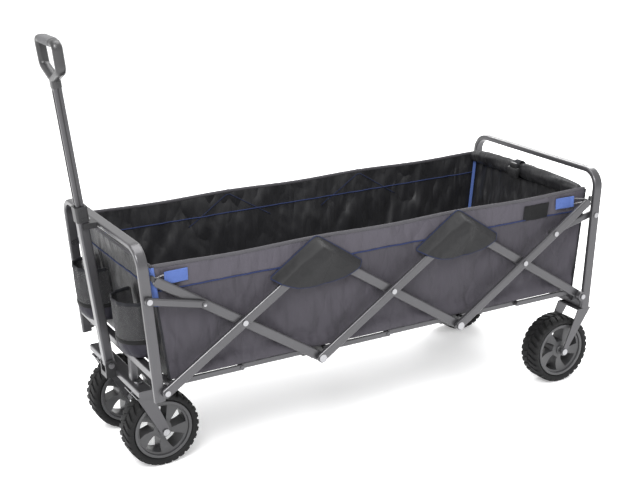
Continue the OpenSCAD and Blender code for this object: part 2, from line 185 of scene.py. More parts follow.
class Graph:
    """The node tree of one material with a single Principled shader."""

    def __init__(self, name: str) -> None:
        """Makes an empty material of that name."""
        self.material = bpy.data.materials.new(name)
        self.material.use_nodes = True
        self.tree = self.material.node_tree
        self.tree.nodes.clear()
        output = self.node("ShaderNodeOutputMaterial")
        self.shader = self.node("ShaderNodeBsdfPrincipled")
        self.tree.links.new(self.shader.outputs[0], output.inputs["Surface"])

    def node(
        self,
        kind: str,
        settings: Mapping[str, object] | None = None,
        inputs: Mapping[object, object] | None = None,
    ) -> bpy.types.Node:
        """Adds one node.

        Args:
            kind: the node's type name.
            settings: its properties; "stops" holds a ramp's (position, colour) pairs.
            inputs: its sockets by name or number, as values, Nums or output sockets.

        Returns:
            The new node.
        """
        made = self.tree.nodes.new(kind)
        for key, value in (settings or {}).items():
            if key == "stops":
                self._set_stops(made, value)
            else:
                setattr(made, key, value)
        for key, value in (inputs or {}).items():
            self.feed(made.inputs[key], value)
        return made

    def feed(self, socket: bpy.types.NodeSocket, value: object) -> None:
        """Links or sets one input socket."""
        if isinstance(value, Num):
            self.tree.links.new(value.socket, socket)
        elif isinstance(value, bpy.types.NodeSocket):
            self.tree.links.new(value, socket)
        elif isinstance(value, tuple) and len(value) == 3 and socket.type == "RGBA":
            socket.default_value = (*value, 1.0)
        else:
            socket.default_value = value

    @staticmethod
    def _set_stops(ramp: bpy.types.Node, stops: Sequence[tuple[float, Colour]]) -> None:
        """Gives a Color Ramp its stops."""
        elements = ramp.color_ramp.elements
        while len(elements) < len(stops):
            elements.new(1.0)
        for element, (position, colour) in zip(elements, stops):
            element.position = position
            element.color = (*colour, 1.0)

    @functools.cached_property
    def place(self) -> bpy.types.NodeSocket:
        """The place on the object, in metres."""
        return self.node("ShaderNodeTexCoord").outputs["Object"]

    @functools.cached_property
    def cloth_place(self) -> bpy.types.NodeSocket:
        """The place on the flat cloth, in metres, from the piece's UV map."""
        return self.node("ShaderNodeTexCoord").outputs["UV"]

    def split(self, vector: bpy.types.NodeSocket) -> tuple[Num, Num, Num]:
        """The three numbers of a vector."""
        made = self.node("ShaderNodeSeparateXYZ", inputs={0: vector})
        return tuple(Num(self, out) for out in made.outputs)

    def grain(
        self,
        scale: float,
        detail: float = 2.0,
        stretch: Colour = (1.0, 1.0, 1.0),
        vector: bpy.types.NodeSocket | None = None,
    ) -> Num:
        """Soft random grain from 0 to 1.

        Args:
            scale: how many grains there are in a metre.
            detail: how much finer grain lies on top.
            stretch: a factor on the scale along each axis.
            vector: the coordinates, or the object's own.

        Returns:
            The grain's height.
        """
        mapped = self.node(
            "ShaderNodeMapping", inputs={"Vector": vector or self.place, "Scale": stretch}
        )
        made = self.node(
            "ShaderNodeTexNoise", inputs={"Vector": mapped.outputs[0], "Scale": scale, "Detail": detail}
        )
        return Num(self, made.outputs[0])

    def blend(self, share: object, first: object, second: object) -> bpy.types.NodeSocket:
        """A colour between two others.

        Args:
            share: 0 gives the first and 1 the second.
            first: a colour or a colour socket.
            second: a colour or a colour socket.

        Returns:
            The colour socket.
        """
        made = self.node(
            "ShaderNodeMix", {"data_type": "RGBA"}, {0: share, 6: first, 7: second}
        )
        return made.outputs[2]

    def relief(
        self,
        height: Num,
        depth: float,
        strength: float = 1.0,
        under: bpy.types.NodeSocket | None = None,
    ) -> bpy.types.NodeSocket:
        """A Bump node's normal.

        Args:
            height: the relief, from 0 to 1.
            depth: how deep the relief is, in metres.
            strength: the share of it that shows.
            under: the normal of a larger relief that this one lies on.

        Returns:
            The normal socket.
        """
        made = self.node(
            "ShaderNodeBump", inputs={"Height": height, "Distance": depth, "Strength": strength}
        )
        if under is not None:
            self.feed(made.inputs["Normal"], under)
        return made.outputs[0]

    def dress(self, **sockets: object) -> None:
        """Feeds the shader's sockets; underscores in the names stand for spaces."""
        for key, value in sockets.items():
            self.feed(self.shader.inputs[key.replace("_", " ").title().replace("Ior", "IOR")], value)


def tint(colour: Colour, factor: float) -> Colour:
    """A colour made lighter or darker by a factor."""
    return tuple(min(1.0, c * factor) for c in colour)


# ---------------------------------------------------------------- finishes


@dataclass(frozen=True)
class Finish:
    """A surface finish. slot is the record's material slot it belongs to."""

    name: str
    slot: str
    colour: Colour

    def paint(self, graph: Graph) -> None:
        """Adds this finish's nodes to the graph."""
        raise NotImplementedError

    @functools.cache
    def material(self) -> bpy.types.Material:
        """The finish's material, made once."""
        graph = Graph(self.name)
        self.paint(graph)
        return graph.material


@dataclass(frozen=True)
class PowderCoat(Finish):
    """Satin gunmetal powder coat on steel tube, with a fine orange peel and light scuffs."""

    roughness: float = 0.36

    def paint(self, graph: Graph) -> None:
        """Adds the coat's colour drift, scuffs and orange peel."""
        drift = graph.grain(9.0, 3.0)
        scuff = graph.grain(70.0, 4.0, (0.35, 1.0, 1.0)).rise(0.62, 0.74)
        worn = graph.blend(scuff * 0.22, graph.blend(drift, tint(self.colour, 0.86), tint(self.colour, 1.12)),
                           tint(self.colour, 1.7))
        graph.dress(
            base_color=worn,
            metallic=0.55,
            roughness=drift * 0.08 + scuff * 0.1 + (self.roughness - 0.05),
            coat_weight=0.25,
            coat_roughness=0.18,
            normal=graph.relief(graph.grain(1400.0, 2.0), 0.00008, 0.5),
        )


@dataclass(frozen=True)
class GrooveShadeCoat(PowderCoat):
    """The same coat on the pulled-out tube, with painted shade along its drawn grooves."""

    lean: float = math.radians(6.2)
    groove: float = 0.0017

    def paint(self, graph: Graph) -> None:
        """Darkens the coat along the middle of each face: painted shade where the grooves lie."""
        super().paint(graph)
        x, y, z = graph.split(graph.place)
        across = (x + 0.6170943) * math.cos(self.lean) + (z - 0.234) * math.sin(self.lean)
        line = across.absolute().least(y.absolute())
        # painted shade: the grooves' shadow is painted as a dark line in the coat's colour
        shade = 1.0 - line.rise(self.groove * 0.8, self.groove * 1.3)
        coat = self.node_colour(graph)
        graph.dress(base_color=graph.blend(shade * 0.85, coat, tint(self.colour, 0.12)))

    @staticmethod
    def node_colour(graph: Graph) -> bpy.types.NodeSocket:
        """The colour socket that feeds the shader so far."""
        return graph.shader.inputs["Base Color"].links[0].from_socket


@dataclass(frozen=True)
class Zinc(Finish):
    """Bright zinc plate on rivets, bolts and wire."""

    def paint(self, graph: Graph) -> None:
        """Adds the plate's cloudy spangle and turning marks."""
        cloud = graph.grain(160.0, 3.0)
        graph.dress(
            base_color=graph.blend(cloud, tint(self.colour, 0.82), self.colour),
            metallic=1.0,
            roughness=cloud * 0.18 + 0.2,
            normal=graph.relief(graph.grain(900.0, 1.0, (1.0, 4.0, 1.0)), 0.00005, 0.6),
        )


@dataclass(frozen=True)
class Moulded(Finish):
    """Moulded plastic with a fine spark-eroded grain."""

    roughness: float = 0.45
    grain_depth: float = 0.00012

    def paint(self, graph: Graph) -> None:
        """Adds the mould's grain and faint flow marks."""
        flow = graph.grain(28.0, 4.0)
        dust = graph.grain(240.0, 5.0).rise(0.58, 0.8)
        base = graph.blend(flow, tint(self.colour, 0.88), tint(self.colour, 1.14))
        graph.dress(
            base_color=graph.blend(dust * 0.16, base, tint(self.colour, 2.2)),
            roughness=flow * 0.12 + (self.roughness - 0.04),
            normal=graph.relief(graph.grain(1700.0, 2.0), self.grain_depth, 0.7),
        )


@dataclass(frozen=True)
class Rubber(Finish):
    """Matte tyre rubber with light patches of dust and scuffs."""

    def paint(self, graph: Graph) -> None:
        """Adds dust, scuffs and a soft grain."""
        dust = graph.grain(45.0, 5.0).rise(0.5, 0.78)
        fine = graph.grain(420.0, 3.0)
        base = graph.blend(fine, tint(self.colour, 0.8), tint(self.colour, 1.25))
        graph.dress(
            base_color=graph.blend(dust * 0.2, base, tint(self.colour, 2.4)),
            specular_ior_level=0.22,
            roughness=dust * 0.1 + 0.66,
            normal=graph.relief(fine, 0.00025, 0.7),
        )


@dataclass(frozen=True)
class Woven(Finish):
    """Coated polyester cloth with a plain weave, slubs and a doubled band along its upper edge."""

    thread: float = 0.0011
    coat: float = 0.62
    streak: float = 0.16
    crease_depth: float = 0.022
    gloss: float = 0.2
    band_from: float | None = None
    band_factor: float = 1.3

    def paint(self, graph: Graph) -> None:
        """Adds the weave, the slubs along the threads, soft cloudiness and the band's lighter cloth."""
        across, up, _ = graph.split(graph.cloth_place)
        pitch = math.pi / self.thread
        weave = (across * pitch).sine().absolute() * 0.5 + (up * pitch).sine().absolute() * 0.5
        slub = graph.grain(1.0, 3.0, (520.0, 26.0, 1.0), graph.cloth_place)
        weft = graph.grain(1.0, 2.0, (30.0, 640.0, 1.0), graph.cloth_place)
        cloud = graph.grain(11.0, 3.0)
        tone = (slub + weft) * 0.5 * self.streak + cloud * 0.12 + weave * 0.1 + (0.89 - self.streak * 0.5)
        dark, light = tint(self.colour, 0.5), tint(self.colour, 1.5)
        colour = graph.blend(tone.rise(0.5, 1.5), dark, light)
        if self.band_from is not None:
            height = graph.split(graph.place)[2]
            lighter = height.rise(self.band_from - 0.001, self.band_from + 0.002)
            band = graph.blend(tone.rise(0.5, 1.5), tint(dark, self.band_factor), tint(light, self.band_factor))
            colour = graph.blend(lighter, colour, band)
        relief = weave * 0.55 + slub * 0.3 + weft * 0.15
        fold = (graph.grain(6.0, 3.0, (1.0, 1.0, 0.42)) - 0.5).absolute() * 2.0
        pucker = (graph.grain(24.0, 1.5, (1.0, 1.0, 0.35)) - 0.5).absolute()
        creases = graph.relief(fold * 1.5 + pucker * 0.5, self.crease_depth, 1.0)
        graph.dress(
            base_color=colour,
            roughness=cloud * 0.1 + weave * 0.08 + (self.coat - 0.06),
            specular_ior_level=self.gloss,
            sheen_weight=0.03,
            sheen_roughness=0.45,
            normal=graph.relief(relief, 0.0004, 0.6, creases),
        )


@dataclass(frozen=True)
class Webbing(Finish):
    """Narrow woven tape with ribs across it, or a thin bound edge."""

    rib: float = 0.0016

    def paint(self, graph: Graph) -> None:
        """Adds the ribs of the tape and its mottled dye."""
        across, along, _ = graph.split(graph.cloth_place)
        pitch = math.pi / self.rib
        ribs = (along * pitch).sine().absolute()
        twill = ((across + along) * (pitch * 0.7)).sine().absolute()
        cloud = graph.grain(60.0, 3.0)
        tone = ribs * 0.35 + twill * 0.25 + cloud * 0.4
        graph.dress(
            base_color=graph.blend(tone, tint(self.colour, 0.66), tint(self.colour, 1.2)),
            specular_ior_level=0.18,
            roughness=0.72,
            sheen_weight=0.04,
            sheen_roughness=0.4,
            normal=graph.relief(ribs * 0.6 + twill * 0.4, 0.0004, 0.7),
        )


@dataclass(frozen=True)
class Netting(Finish):
    """Knitted mesh with small round holes that are partly see-through and painted dark as shade of the pocket's inside.
    """

    hole: float = 0.0042

    def paint(self, graph: Graph) -> None:
        """Adds the rows of holes, painted dark as shade and partly see-through, and the knit between them."""
        across, up, _ = graph.split(graph.cloth_place)
        pitch = math.pi / self.hole
        rows = ((across + up) * pitch).sine() * ((across - up) * pitch).sine()
        # open_part marks the holes: they are painted dark as shade of the pocket's inside, and are also partly
        # see-through
        open_part = rows.absolute().rise(0.45, 0.7)
        graph.dress(
            base_color=graph.blend(open_part, self.colour, tint(self.colour, 0.3)),
            alpha=1.0 - open_part * 0.55,
            roughness=0.7,
            normal=graph.relief(1.0 - open_part, 0.0006, 0.8),
        )


@dataclass(frozen=True)
class Floor(Finish):
    """The studio's pale floor."""

    def paint(self, graph: Graph) -> None:
        """Adds a barely visible unevenness."""
        drift = graph.grain(1.2, 2.0)
        graph.dress(
            base_color=graph.blend(drift, tint(self.colour, 0.985), self.colour),
            roughness=drift * 0.05 + 0.8,
            emission_color=(1.0, 1.0, 1.0),
            emission_strength=0.3,
        )


FRAME_PAINT = PowderCoat("frame_paint", "frame_paint", (0.058, 0.057, 0.061))
# the pulled-out tube's coat, with painted shade along its grooves
GROOVE_SHADE_PAINT = GrooveShadeCoat("groove_shade_paint", "frame_paint", (0.058, 0.057, 0.061))
ZINC = Zinc("zinc_plate", "zinc", (0.32, 0.32, 0.33))
BLACK_PLASTIC = Moulded("black_plastic", "black_plastic", (0.012, 0.012, 0.013), 0.4)
GRIP_PLASTIC = Moulded("grip_plastic", "black_plastic", (0.022, 0.022, 0.023), 0.3)
GRIP_RUBBER = Moulded("grip_rubber", "grip_rubber", (0.085, 0.085, 0.088), 0.62, 0.0003)
RIM_PLASTIC = Moulded("rim_plastic", "rim_plastic", (0.036, 0.036, 0.038), 0.36)
TYRE = Rubber("tyre_rubber", "tyre", (0.006, 0.006, 0.0063))
GREY_CLOTH = Woven("grey_cloth", "grey_cloth", (0.041, 0.038, 0.046), band_from=0.492, band_factor=1.42)
LINING = Woven("black_lining", "black_cloth", (0.0105, 0.0105, 0.012), thread=0.0009, coat=0.4, streak=0.1,
               crease_depth=0.026, gloss=0.45)
MAT_CLOTH = Woven("mat_cloth", "black_cloth", (0.012, 0.012, 0.0135), coat=0.5, crease_depth=0.004, gloss=0.3)
FLAP_CLOTH = Woven("flap_cloth", "black_cloth", (0.0125, 0.0125, 0.0132), thread=0.0013, coat=0.55, streak=0.12,
                   crease_depth=0.008)
CUP_CLOTH = Woven("cup_cloth", "grey_cloth", (0.017, 0.016, 0.023))
HEM_CLOTH = Webbing("hem_tape", "grey_cloth", (0.058, 0.056, 0.062))
DARK_TAPE = Webbing("dark_tape", "black_cloth", (0.011, 0.0115, 0.014))
BLUE_TAPE = Webbing("blue_tape", "blue_cloth", (0.06, 0.1, 0.27))
BLUE_PIPING = Webbing("blue_piping", "blue_cloth", (0.016, 0.025, 0.075), 0.0009)
BLUE_EDGE = Webbing("blue_edge", "blue_cloth", (0.012, 0.017, 0.045), 0.0009)
PATCH_CLOTH = Webbing("patch_cloth", "black_cloth", (0.006, 0.006, 0.0065), 0.0012)
POCKET_NET = Netting("pocket_net", "pocket_cloth", (0.022, 0.022, 0.024))
FLOOR = Floor("studio_floor", "", (0.93, 0.93, 0.935))


# ---------------------------------------------------------------- mesh making


def surface(columns: int, rows: int, place: Place, size: tuple[float, float] = (1.0, 1.0)) -> bmesh.types.BMesh:
    """A sheet of faces whose points are put in place one by one.

    Args:
        columns: how many faces lie across it.
        rows: how many faces lie up it.
        place: gives a point from its share across and up, both from 0 to 1.
        size: the flat sheet's width and height, which the UV map keeps.

    Returns:
        The sheet, with its doubles merged.
    """
    bm = bmesh.new()
    layer = bm.loops.layers.uv.new("UVMap")
    bmesh.ops.create_grid(bm, x_segments=columns, y_segments=rows, size=0.5, calc_uvs=True)
    for face in bm.faces:
        for loop in face.loops:
            loop[layer].uv = ((loop.vert.co.x + 0.5) * size[0], (loop.vert.co.y + 0.5) * size[1])
    for vert in bm.verts:
        vert.co = place(vert.co.x + 0.5, vert.co.y + 0.5)
    bmesh.ops.remove_doubles(bm, verts=bm.verts, dist=1e-6)
    return bm


def resample(points: Sequence[Vector], step: float, closed: bool = False) -> list[Vector]:
    """Evenly spaced points along a line.

    Args:
        points: the line's corners.
        step: the distance between the new points.
        closed: whether the line returns to its start.

    Returns:
        The new points.
    """
    line = [*points, points[0]] if closed else list(points)
    lengths = [(b - a).length for a, b in zip(line, line[1:])]
    total = sum(lengths)
    count = max(2, round(total / step))
    result, passed, index = [], 0.0, 0
    for k in range(count if closed else count + 1):
        target = total * k / count
        while index < len(lengths) - 1 and passed + lengths[index] < target:
            passed += lengths[index]
            index += 1
        share = (target - passed) / max(lengths[index], 1e-9)
        result.append(line[index].lerp(line[index + 1], min(1.0, share)))
    return result


def sweep(
    path: Sequence[Vector],
    size: tuple[float, float],
    up: Vector,
    sides: int = 8,
    boxy: float = 1.0,
    closed: bool = False,
) -> bmesh.types.BMesh:
    """A tube or strap along a line.

    Args:
        path: the points along its middle.
        size: its width across the line and its thickness along up.
        up: the direction that its thickness follows.
        sides: how many faces go round it.
        boxy: 1 for an ellipse, and less for a section with flatter sides.
        closed: whether it returns to its start.

    Returns:
        The closed tube.
    """
    count = len(path)
    frames = []
    for k, point in enumerate(path):
        before = path[k - 1] if k or closed else path[0]
        after = path[(k + 1) % count] if k + 1 < count or closed else path[-1]
        along = (after - before).normalized()
        wide = along.cross(up)
        wide = wide.normalized() if wide.length > 1e-6 else along.orthogonal().normalized()
        frames.append((point, wide, wide.cross(along).normalized()))
    steps = count if closed else count - 1

    def place(turn: float, share: float) -> Vector:
        point, wide, thick = frames[round(share * steps) % count]
        angle = math.tau * turn
        c, s = math.cos(angle), math.sin(angle)
        return (
            point
            + wide * (math.copysign(abs(c) ** boxy, c) * size[0] / 2)
            + thick * (math.copysign(abs(s) ** boxy, s) * size[1] / 2)
        )

    length = sum((b - a).length for a, b in zip(path, path[1:]))
    bm = surface(sides, steps, place, (math.pi * max(size) / 2, length))
    if not closed:
        ends = [e for e in bm.edges if e.is_boundary]
        bmesh.ops.holes_fill(bm, edges=ends, sides=sides + 1)
    bmesh.ops.recalc_face_normals(bm, faces=bm.faces)
    return bm


def block(size: Vector, centre: Vector, bevel: float, segments: int = 2) -> bmesh.types.BMesh:
    """A box with rounded edges."""
    bm = bmesh.new()
    bmesh.ops.create_cube(bm, size=1.0, matrix=Matrix.Translation(centre) @ Matrix.Diagonal((*size, 1.0)))
    bmesh.ops.bevel(
        bm, geom=list(bm.edges), offset=bevel, segments=segments, profile=0.5, affect="EDGES", material=-1
    )
    return bm


def lathe(profile: Sequence[tuple[float, float]], steps: int) -> bmesh.types.BMesh:
    """A shape turned about the Y axis.

    Args:
        profile: its outline as (radius, y) pairs.
        steps: how many faces go round it.

    Returns:
        The turned shape.
    """
    bm = bmesh.new()
    verts = [bm.verts.new((radius, y, 0.0)) for radius, y in profile]
    edges = [bm.edges.new(pair) for pair in zip(verts, verts[1:])]
    bmesh.ops.spin(
        bm,
        geom=verts + edges,
        cent=(0.0, 0.0, 0.0),
        axis=(0.0, 1.0, 0.0),
        angle=math.tau,
        steps=steps,
        use_merge=True,
    )
    bmesh.ops.remove_doubles(bm, verts=bm.verts, dist=1e-6)
    bmesh.ops.recalc_face_normals(bm, faces=bm.faces)
    return bm


def join(parts: Iterable[bmesh.types.BMesh]) -> bmesh.types.BMesh:
    """Several shapes as one mesh; the parts are used up."""
    whole = bmesh.new()
    whole.loops.layers.uv.new("UVMap")
    for part in parts:
        mesh = bpy.data.meshes.new("part")
        part.to_mesh(mesh)
        part.free()
        whole.from_mesh(mesh)
        bpy.data.meshes.remove(mesh)
    return whole


def mirrored(bm: bmesh.types.BMesh, axis: str) -> bmesh.types.BMesh:
    """The shape mirrored through the plane where that axis is zero, with its faces turned back outwards."""
    flip = Matrix.Diagonal([-1.0 if axis == name else 1.0 for name in "XYZ"] + [1.0])
    bmesh.ops.transform(bm, matrix=flip, verts=bm.verts)
    bmesh.ops.reverse_faces(bm, faces=bm.faces)
    return bm


@dataclass
class Piece:
    """A finished piece: its name, mesh, finishes and the body that it rides on."""

    name: str
    shape: bmesh.types.BMesh
    finishes: Sequence[Finish]
    body: str
    smooth: bool = True
    crease: float = 40.0

    def build(self) -> bpy.types.Object:
        """Turns the shape into an object that rides on its body.

        Returns:
            The object.
        """
        mesh = bpy.data.meshes.new(self.name)
        self.shape.to_mesh(mesh)
        self.shape.free()
        for finish in self.finishes:
            mesh.materials.append(finish.material())
        if self.smooth:
            mesh.shade_smooth()
            mesh.set_sharp_from_angle(angle=math.radians(self.crease))
        obj = bpy.data.objects.new(self.name, mesh)
        bpy.context.scene.collection.objects.link(obj)
        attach(obj, self.body)
        log.info("%s: %d faces on %s", self.name, len(mesh.polygons), self.body)
        return obj


def soften(obj: bpy.types.Object, width: float, segments: int = 2) -> None:
    """Rounds the sharp edges of a piece."""
    bevel = obj.modifiers.new("Edges", "BEVEL")
    bevel.width = width
    bevel.segments = segments
    bevel.limit_method = "ANGLE"
    bevel.angle_limit = math.radians(35.0)
    bevel.harden_normals = True


def smooth_out(obj: bpy.types.Object, levels: int = 1) -> None:
    """Adds a subdivision surface with the same level in the view and the render."""
    subdivision = obj.modifiers.new("Smooth", "SUBSURF")
    subdivision.levels = levels
    subdivision.render_levels = levels


def thicken(obj: bpy.types.Object, thickness: float, offset: float, inner_slot: int = 0) -> None:
    """Gives a sheet its thickness.

    Args:
        obj: the sheet.
        thickness: the cloth's thickness.
        offset: -1 puts it behind the faces and 1 in front.
        inner_slot: how many slots further on the back's finish is.
    """
    solid = obj.modifiers.new("Thickness", "SOLIDIFY")
    solid.thickness = thickness
    solid.offset = offset
    solid.material_offset = inner_slot
    solid.use_quality_normals = True


def step_up(value: float, low: float, high: float) -> float:
    """Goes smoothly from 0 at low to 1 at high."""
    share = min(1.0, max(0.0, (value - low) / (high - low)))
    return share * share * (3 - 2 * share)


def ripple(x: float, y: float, scale: float, seed: float = 0.0) -> float:
    """Smooth random height from about -1 to 1, the same each run."""
    return noise.noise(Vector((x * scale, y * scale, seed)))


# ---------------------------------------------------------------- the frame's places


@dataclass(frozen=True)
class Plan:
    """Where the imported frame's pivots and the tub's edges lie."""

    pivots: Mapping[str, Vector]
    fold_turn: float
    tub_low: Vector
    tub_high: Vector
    wall_foot: float

    @classmethod
    def read(cls, joints: Iterable[Mapping]) -> Plan:
        """Takes the places from the frame.

        Args:
            joints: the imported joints.

        Returns:
            The plan.
        """
        pivots = {j["name"]: Vector(j["pos_m"]) for j in joints if j.get("pos_m")}
        fold = next(j for j in joints if j["name"] == "fold")
        low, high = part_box("tub_sides")
        floor_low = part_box("tub_floor_mat")[0]
        return cls(pivots, math.radians(fold["range_deg"][1]), low, high, floor_low.x)

    @property
    def middle(self) -> float:
        """X of the middle crossing, about which the frame is alike at both ends."""
        return self.pivots["crossing_middle"].x

    def across(self, point: Vector) -> Vector:
        """The matching point at the other end of the cart."""
        return Vector((2 * self.middle - point.x, point.y, point.z))

    def at(self, end: End, point: Vector) -> Vector:
        """A point made for the front, at that end."""
        return point if end is End.FRONT else self.across(point)

    @property
    def high_joint(self) -> Vector:
        """The front one of the two high joints, where the arms meet under the flaps."""
        low, crossing = self.pivots["low_joint_front"], self.pivots["crossing_front"]
        return Vector((low.x, 0.0, 2 * crossing.z - low.z))

    @property
    def arm_angle(self) -> float:
        """The open angle of the arms above the horizontal, in radians."""
        rise = self.pivots["crossing_front"] - self.pivots["fold"]
        return math.atan2(rise.z, rise.x)

    @property
    def arm_tip(self) -> Vector:
        """The free upper end of the front arm, where the tub's corner hooks on."""
        low, crossing = self.pivots["low_joint_front"], self.pivots["crossing_front"]
        return crossing + (crossing - low) * 0.988

    @property
    def folded_share(self) -> float:
        """The frame's folded length as a share of its open length."""
        return math.cos(self.arm_angle + self.fold_turn) / math.cos(self.arm_angle)

    def crumple(self, obj: bpy.types.Object) -> None:
        """Gives a piece of the tub its own copy of its mesh; the folded share is read but not used."""
        self.folded_share
        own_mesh(obj)


# ---------------------------------------------------------------- the cloth tub


@dataclass(frozen=True)
class Wall:
    """One flat cloth wall between four corners, seen from outside, with u to the right and t up."""

    name: str
    low_left: Vector
    low_right: Vector
    high_left: Vector
    high_right: Vector
    outward: Vector
    props: Sequence[float] = ()
    seed: float = 0.0

    @property
    def width(self) -> float:
        """The wall's length along its upper edge."""
        return (self.high_right - self.high_left).length

    @property
    def height(self) -> float:
        """The wall's height along its slope."""
        return (self.high_left - self.low_left).length

    def flat(self, u: float, t: float) -> Vector:
        """A point of the flat wall."""
        return self.low_left.lerp(self.low_right, u).lerp(self.high_left.lerp(self.high_right, u), t)

    def sag(self, u: float) -> float:
        """How far the upper edge hangs between the places that hold it up."""
        stops = (0.0, *self.props, 1.0)
        left = max(s for s in stops if s <= u + 1e-9 and s < 1.0)
        right = min(s for s in stops if s > left)
        return math.sin(math.pi * (u - left) / (right - left)) ** 2

    def place(self, u: float, t: float) -> Vector:
        """A point of the wall with its soft wrinkles and its hanging upper edge."""
        x, z = u * self.width, t * self.height
        held = step_up(min(t, 1 - t) * self.height, 0.0, 0.05) * step_up(min(u, 1 - u) * self.width, 0.0, 0.04)
        low_down = 1 - step_up(t, 0.55, 0.85) * 0.6
        wave = 0.0040 * ripple(x + 0.2 * z, z * 0.5, 8.0, self.seed)
        crease = 0.0040 * (1 - abs(ripple(x + 0.5 * z, z * 0.3, 14.0, self.seed + 3.0)) * 2.8)
        tuck = 0.0022 * (1 - abs(ripple(x - 0.6 * z, z * 0.4, 26.0, self.seed + 5.0)) * 2.6)
        fine = 0.0008 * ripple(x, z * 0.5, 55.0, self.seed + 7.0)
        depth = (wave + crease + tuck - 0.0085) * held * low_down + fine - 0.0008
        point = self.flat(u, t) + self.outward * depth
        point.z -= 0.004 * self.sag(u) * step_up(t, 0.78, 1.0)
        return point


@dataclass
class Tub:
    """The sewn tub: four walls, a floor mat, piping, hems, flaps, tabs, pockets and the rolled rear hem."""

    plan: Plan
    piping_height: float = 0.492
    mat_thickness: float = 0.003
    trees: dict[str, BVHTree] = field(default_factory=dict)

    @property
    def skin(self) -> float:
        """The outer face of the side walls, as |y|."""
        return self.plan.tub_high.y

    def edge_x(self, end: End, height: float) -> float:
        """X of the outer face of an end wall at that height."""
        low, high = self.plan.tub_low, self.plan.tub_high
        share = (height - low.z) / (high.z - low.z)
        foot = self.plan.wall_foot - 0.0055
        front = foot + (low.x - foot) * share
        return front if end is End.FRONT else 2 * self.plan.middle - front

    def corner(self, end: End, side: Side, height: float) -> Vector:
        """A corner of the tub at that height."""
        return Vector((self.edge_x(end, height), side.value * self.skin, height))

    def wall_between(self, name: str, left: tuple[End, Side], right: tuple[End, Side], outward: Vector,
                     props: Sequence[float], seed: float) -> Wall:
        """A wall between two of the tub's upright corners, which are given as seen from outside."""
        low, high = self.plan.tub_low.z, self.plan.tub_high.z
        return Wall(
            name, self.corner(*left, low), self.corner(*right, low), self.corner(*left, high),
            self.corner(*right, high), outward, props, seed,
        )

    def prop_shares(self, reverse: bool) -> tuple[float, ...]:
        """Where the two high joints hold the upper edge of a side wall up."""
        low, high = self.plan.tub_low.x, self.plan.tub_high.x
        first = (self.plan.high_joint.x - low) / (high - low)
        return (first, 1 - first)

    def sew_wall(self, wall: Wall, finishes: Sequence[Finish], body: str, cells: tuple[int, int],
                 squashed: bool) -> bpy.types.Object:
        """Makes one wall and lets it hang.

        Args:
            wall: where it lies.
            finishes: its outer and inner cloth.
            body: the body that it rides on.
            cells: how many faces it has across and up.
            squashed: whether crumple gives it its own copy of its mesh.

        Returns:
            The wall.
        """
        shape = surface(*cells, wall.place, (wall.width, wall.height))
        obj = Piece(wall.name, shape, finishes, body, crease=180.0).build()
        rest = [v.co.copy() for v in obj.data.vertices]
        hang(obj, wall, self.piping_height)
        for vert, start in zip(obj.data.vertices, rest):
            shift = (vert.co - start).dot(wall.outward)
            limit = min(max(shift, -0.009), 0.0005)
            vert.co = vert.co + wall.outward * (limit - shift)
        self.trees[wall.name] = BVHTree.FromPolygons(
            [v.co for v in obj.data.vertices], [p.vertices[:] for p in obj.data.polygons]
        )
        thicken(obj, 0.0024, -1.0, 1)
        smooth_out(obj)
        wall.width
        wall.height
        if squashed:
            self.plan.crumple(obj)
        return obj

    def touch(self, wall: Wall, u: float, height: float, lift: float) -> Vector:
        """A point on the hanging wall.

        Args:
            wall: the wall.
            u: the share across it.
            height: z of the point.
            lift: how far outside the cloth's face the point lies.

        Returns:
            The point.
        """
        low = self.plan.tub_low.z
        aim = wall.flat(u, (height - low) / (self.plan.tub_high.z - low))
        hit = self.trees[wall.name].ray_cast(aim + wall.outward * 0.05, -wall.outward, 0.12)[0]
        return (hit or aim) + wall.outward * lift

    def run_line(self, wall: Wall, name: str, height: float, lift: float, radius: float, finish: Finish,
                 body: str, squashed: bool) -> bpy.types.Object:
        """Sews a cord or a bound edge along a wall at one height."""
        count = max(16, round(wall.width / 0.014))
        path = [self.touch(wall, min(max(k / count, 0.004), 0.996), height, lift) for k in range(count + 1)]
        shape = sweep(path, (2 * radius, 2 * radius), Vector((0.0, 0.0, 1.0)), 8)
        obj = Piece(name, shape, [finish], body, crease=180.0).build()
        if squashed:
            self.plan.crumple(obj)
        return obj

    def trim(self, wall: Wall, body: str, squashed: bool) -> None:
        """Adds a wall's piping on both faces and the bound hem along its upper edge."""
        self.run_line(wall, f"{wall.name}_piping", self.piping_height, 0.0008, 0.0019, BLUE_PIPING, body, squashed)
        self.run_line(
            wall, f"{wall.name}_inner_piping", self.piping_height, -0.0034, 0.0017, BLUE_PIPING, body, squashed
        )
        top = self.plan.tub_high.z
        count = max(16, round(wall.width / 0.014))
        path = [wall.place(min(max(k / count, 0.003), 0.997), 1.0) - wall.outward * 0.0012 for k in range(count + 1)]
        hem = sweep(path, (0.0058, 0.0095), Vector((0.0, 0.0, 1.0)), 10, 0.8)
        obj = Piece(f"{wall.name}_hem", hem, [HEM_CLOTH], body, crease=180.0).build()
        if squashed:
            self.plan.crumple(obj)
        log.debug("%s trimmed at z=%.3f", wall.name, top)

    def sew_flap_seams(self, wall: Wall) -> None:
        """Sews the pointed seams of the flaps, which show through on a side wall's lining."""
        start, length = wall.flat(0.0, 0.8).x, wall.flat(1.0, 0.8).x - wall.flat(0.0, 0.8).x
        for end in End:
            joint = self.plan.at(end, self.plan.high_joint)
            corners = [(-0.125, 0.468), (0.0, 0.546), (0.125, 0.468)]
            points = [self.plan.at(End.FRONT, Vector((joint.x + dx, 0.0, z))) for dx, z in corners]
            path = [self.touch(wall, (p.x - start) / length, p.z, -0.0032) for p in resample(points, 0.012)]
            seam = sweep(path, (0.0026, 0.0020), Vector((0.0, 1.0, 0.0)), 6)
            obj = Piece(f"{wall.name}_seam_{end.label}", seam, [BLUE_EDGE], "front_frame", crease=180.0).build()
            self.plan.crumple(obj)

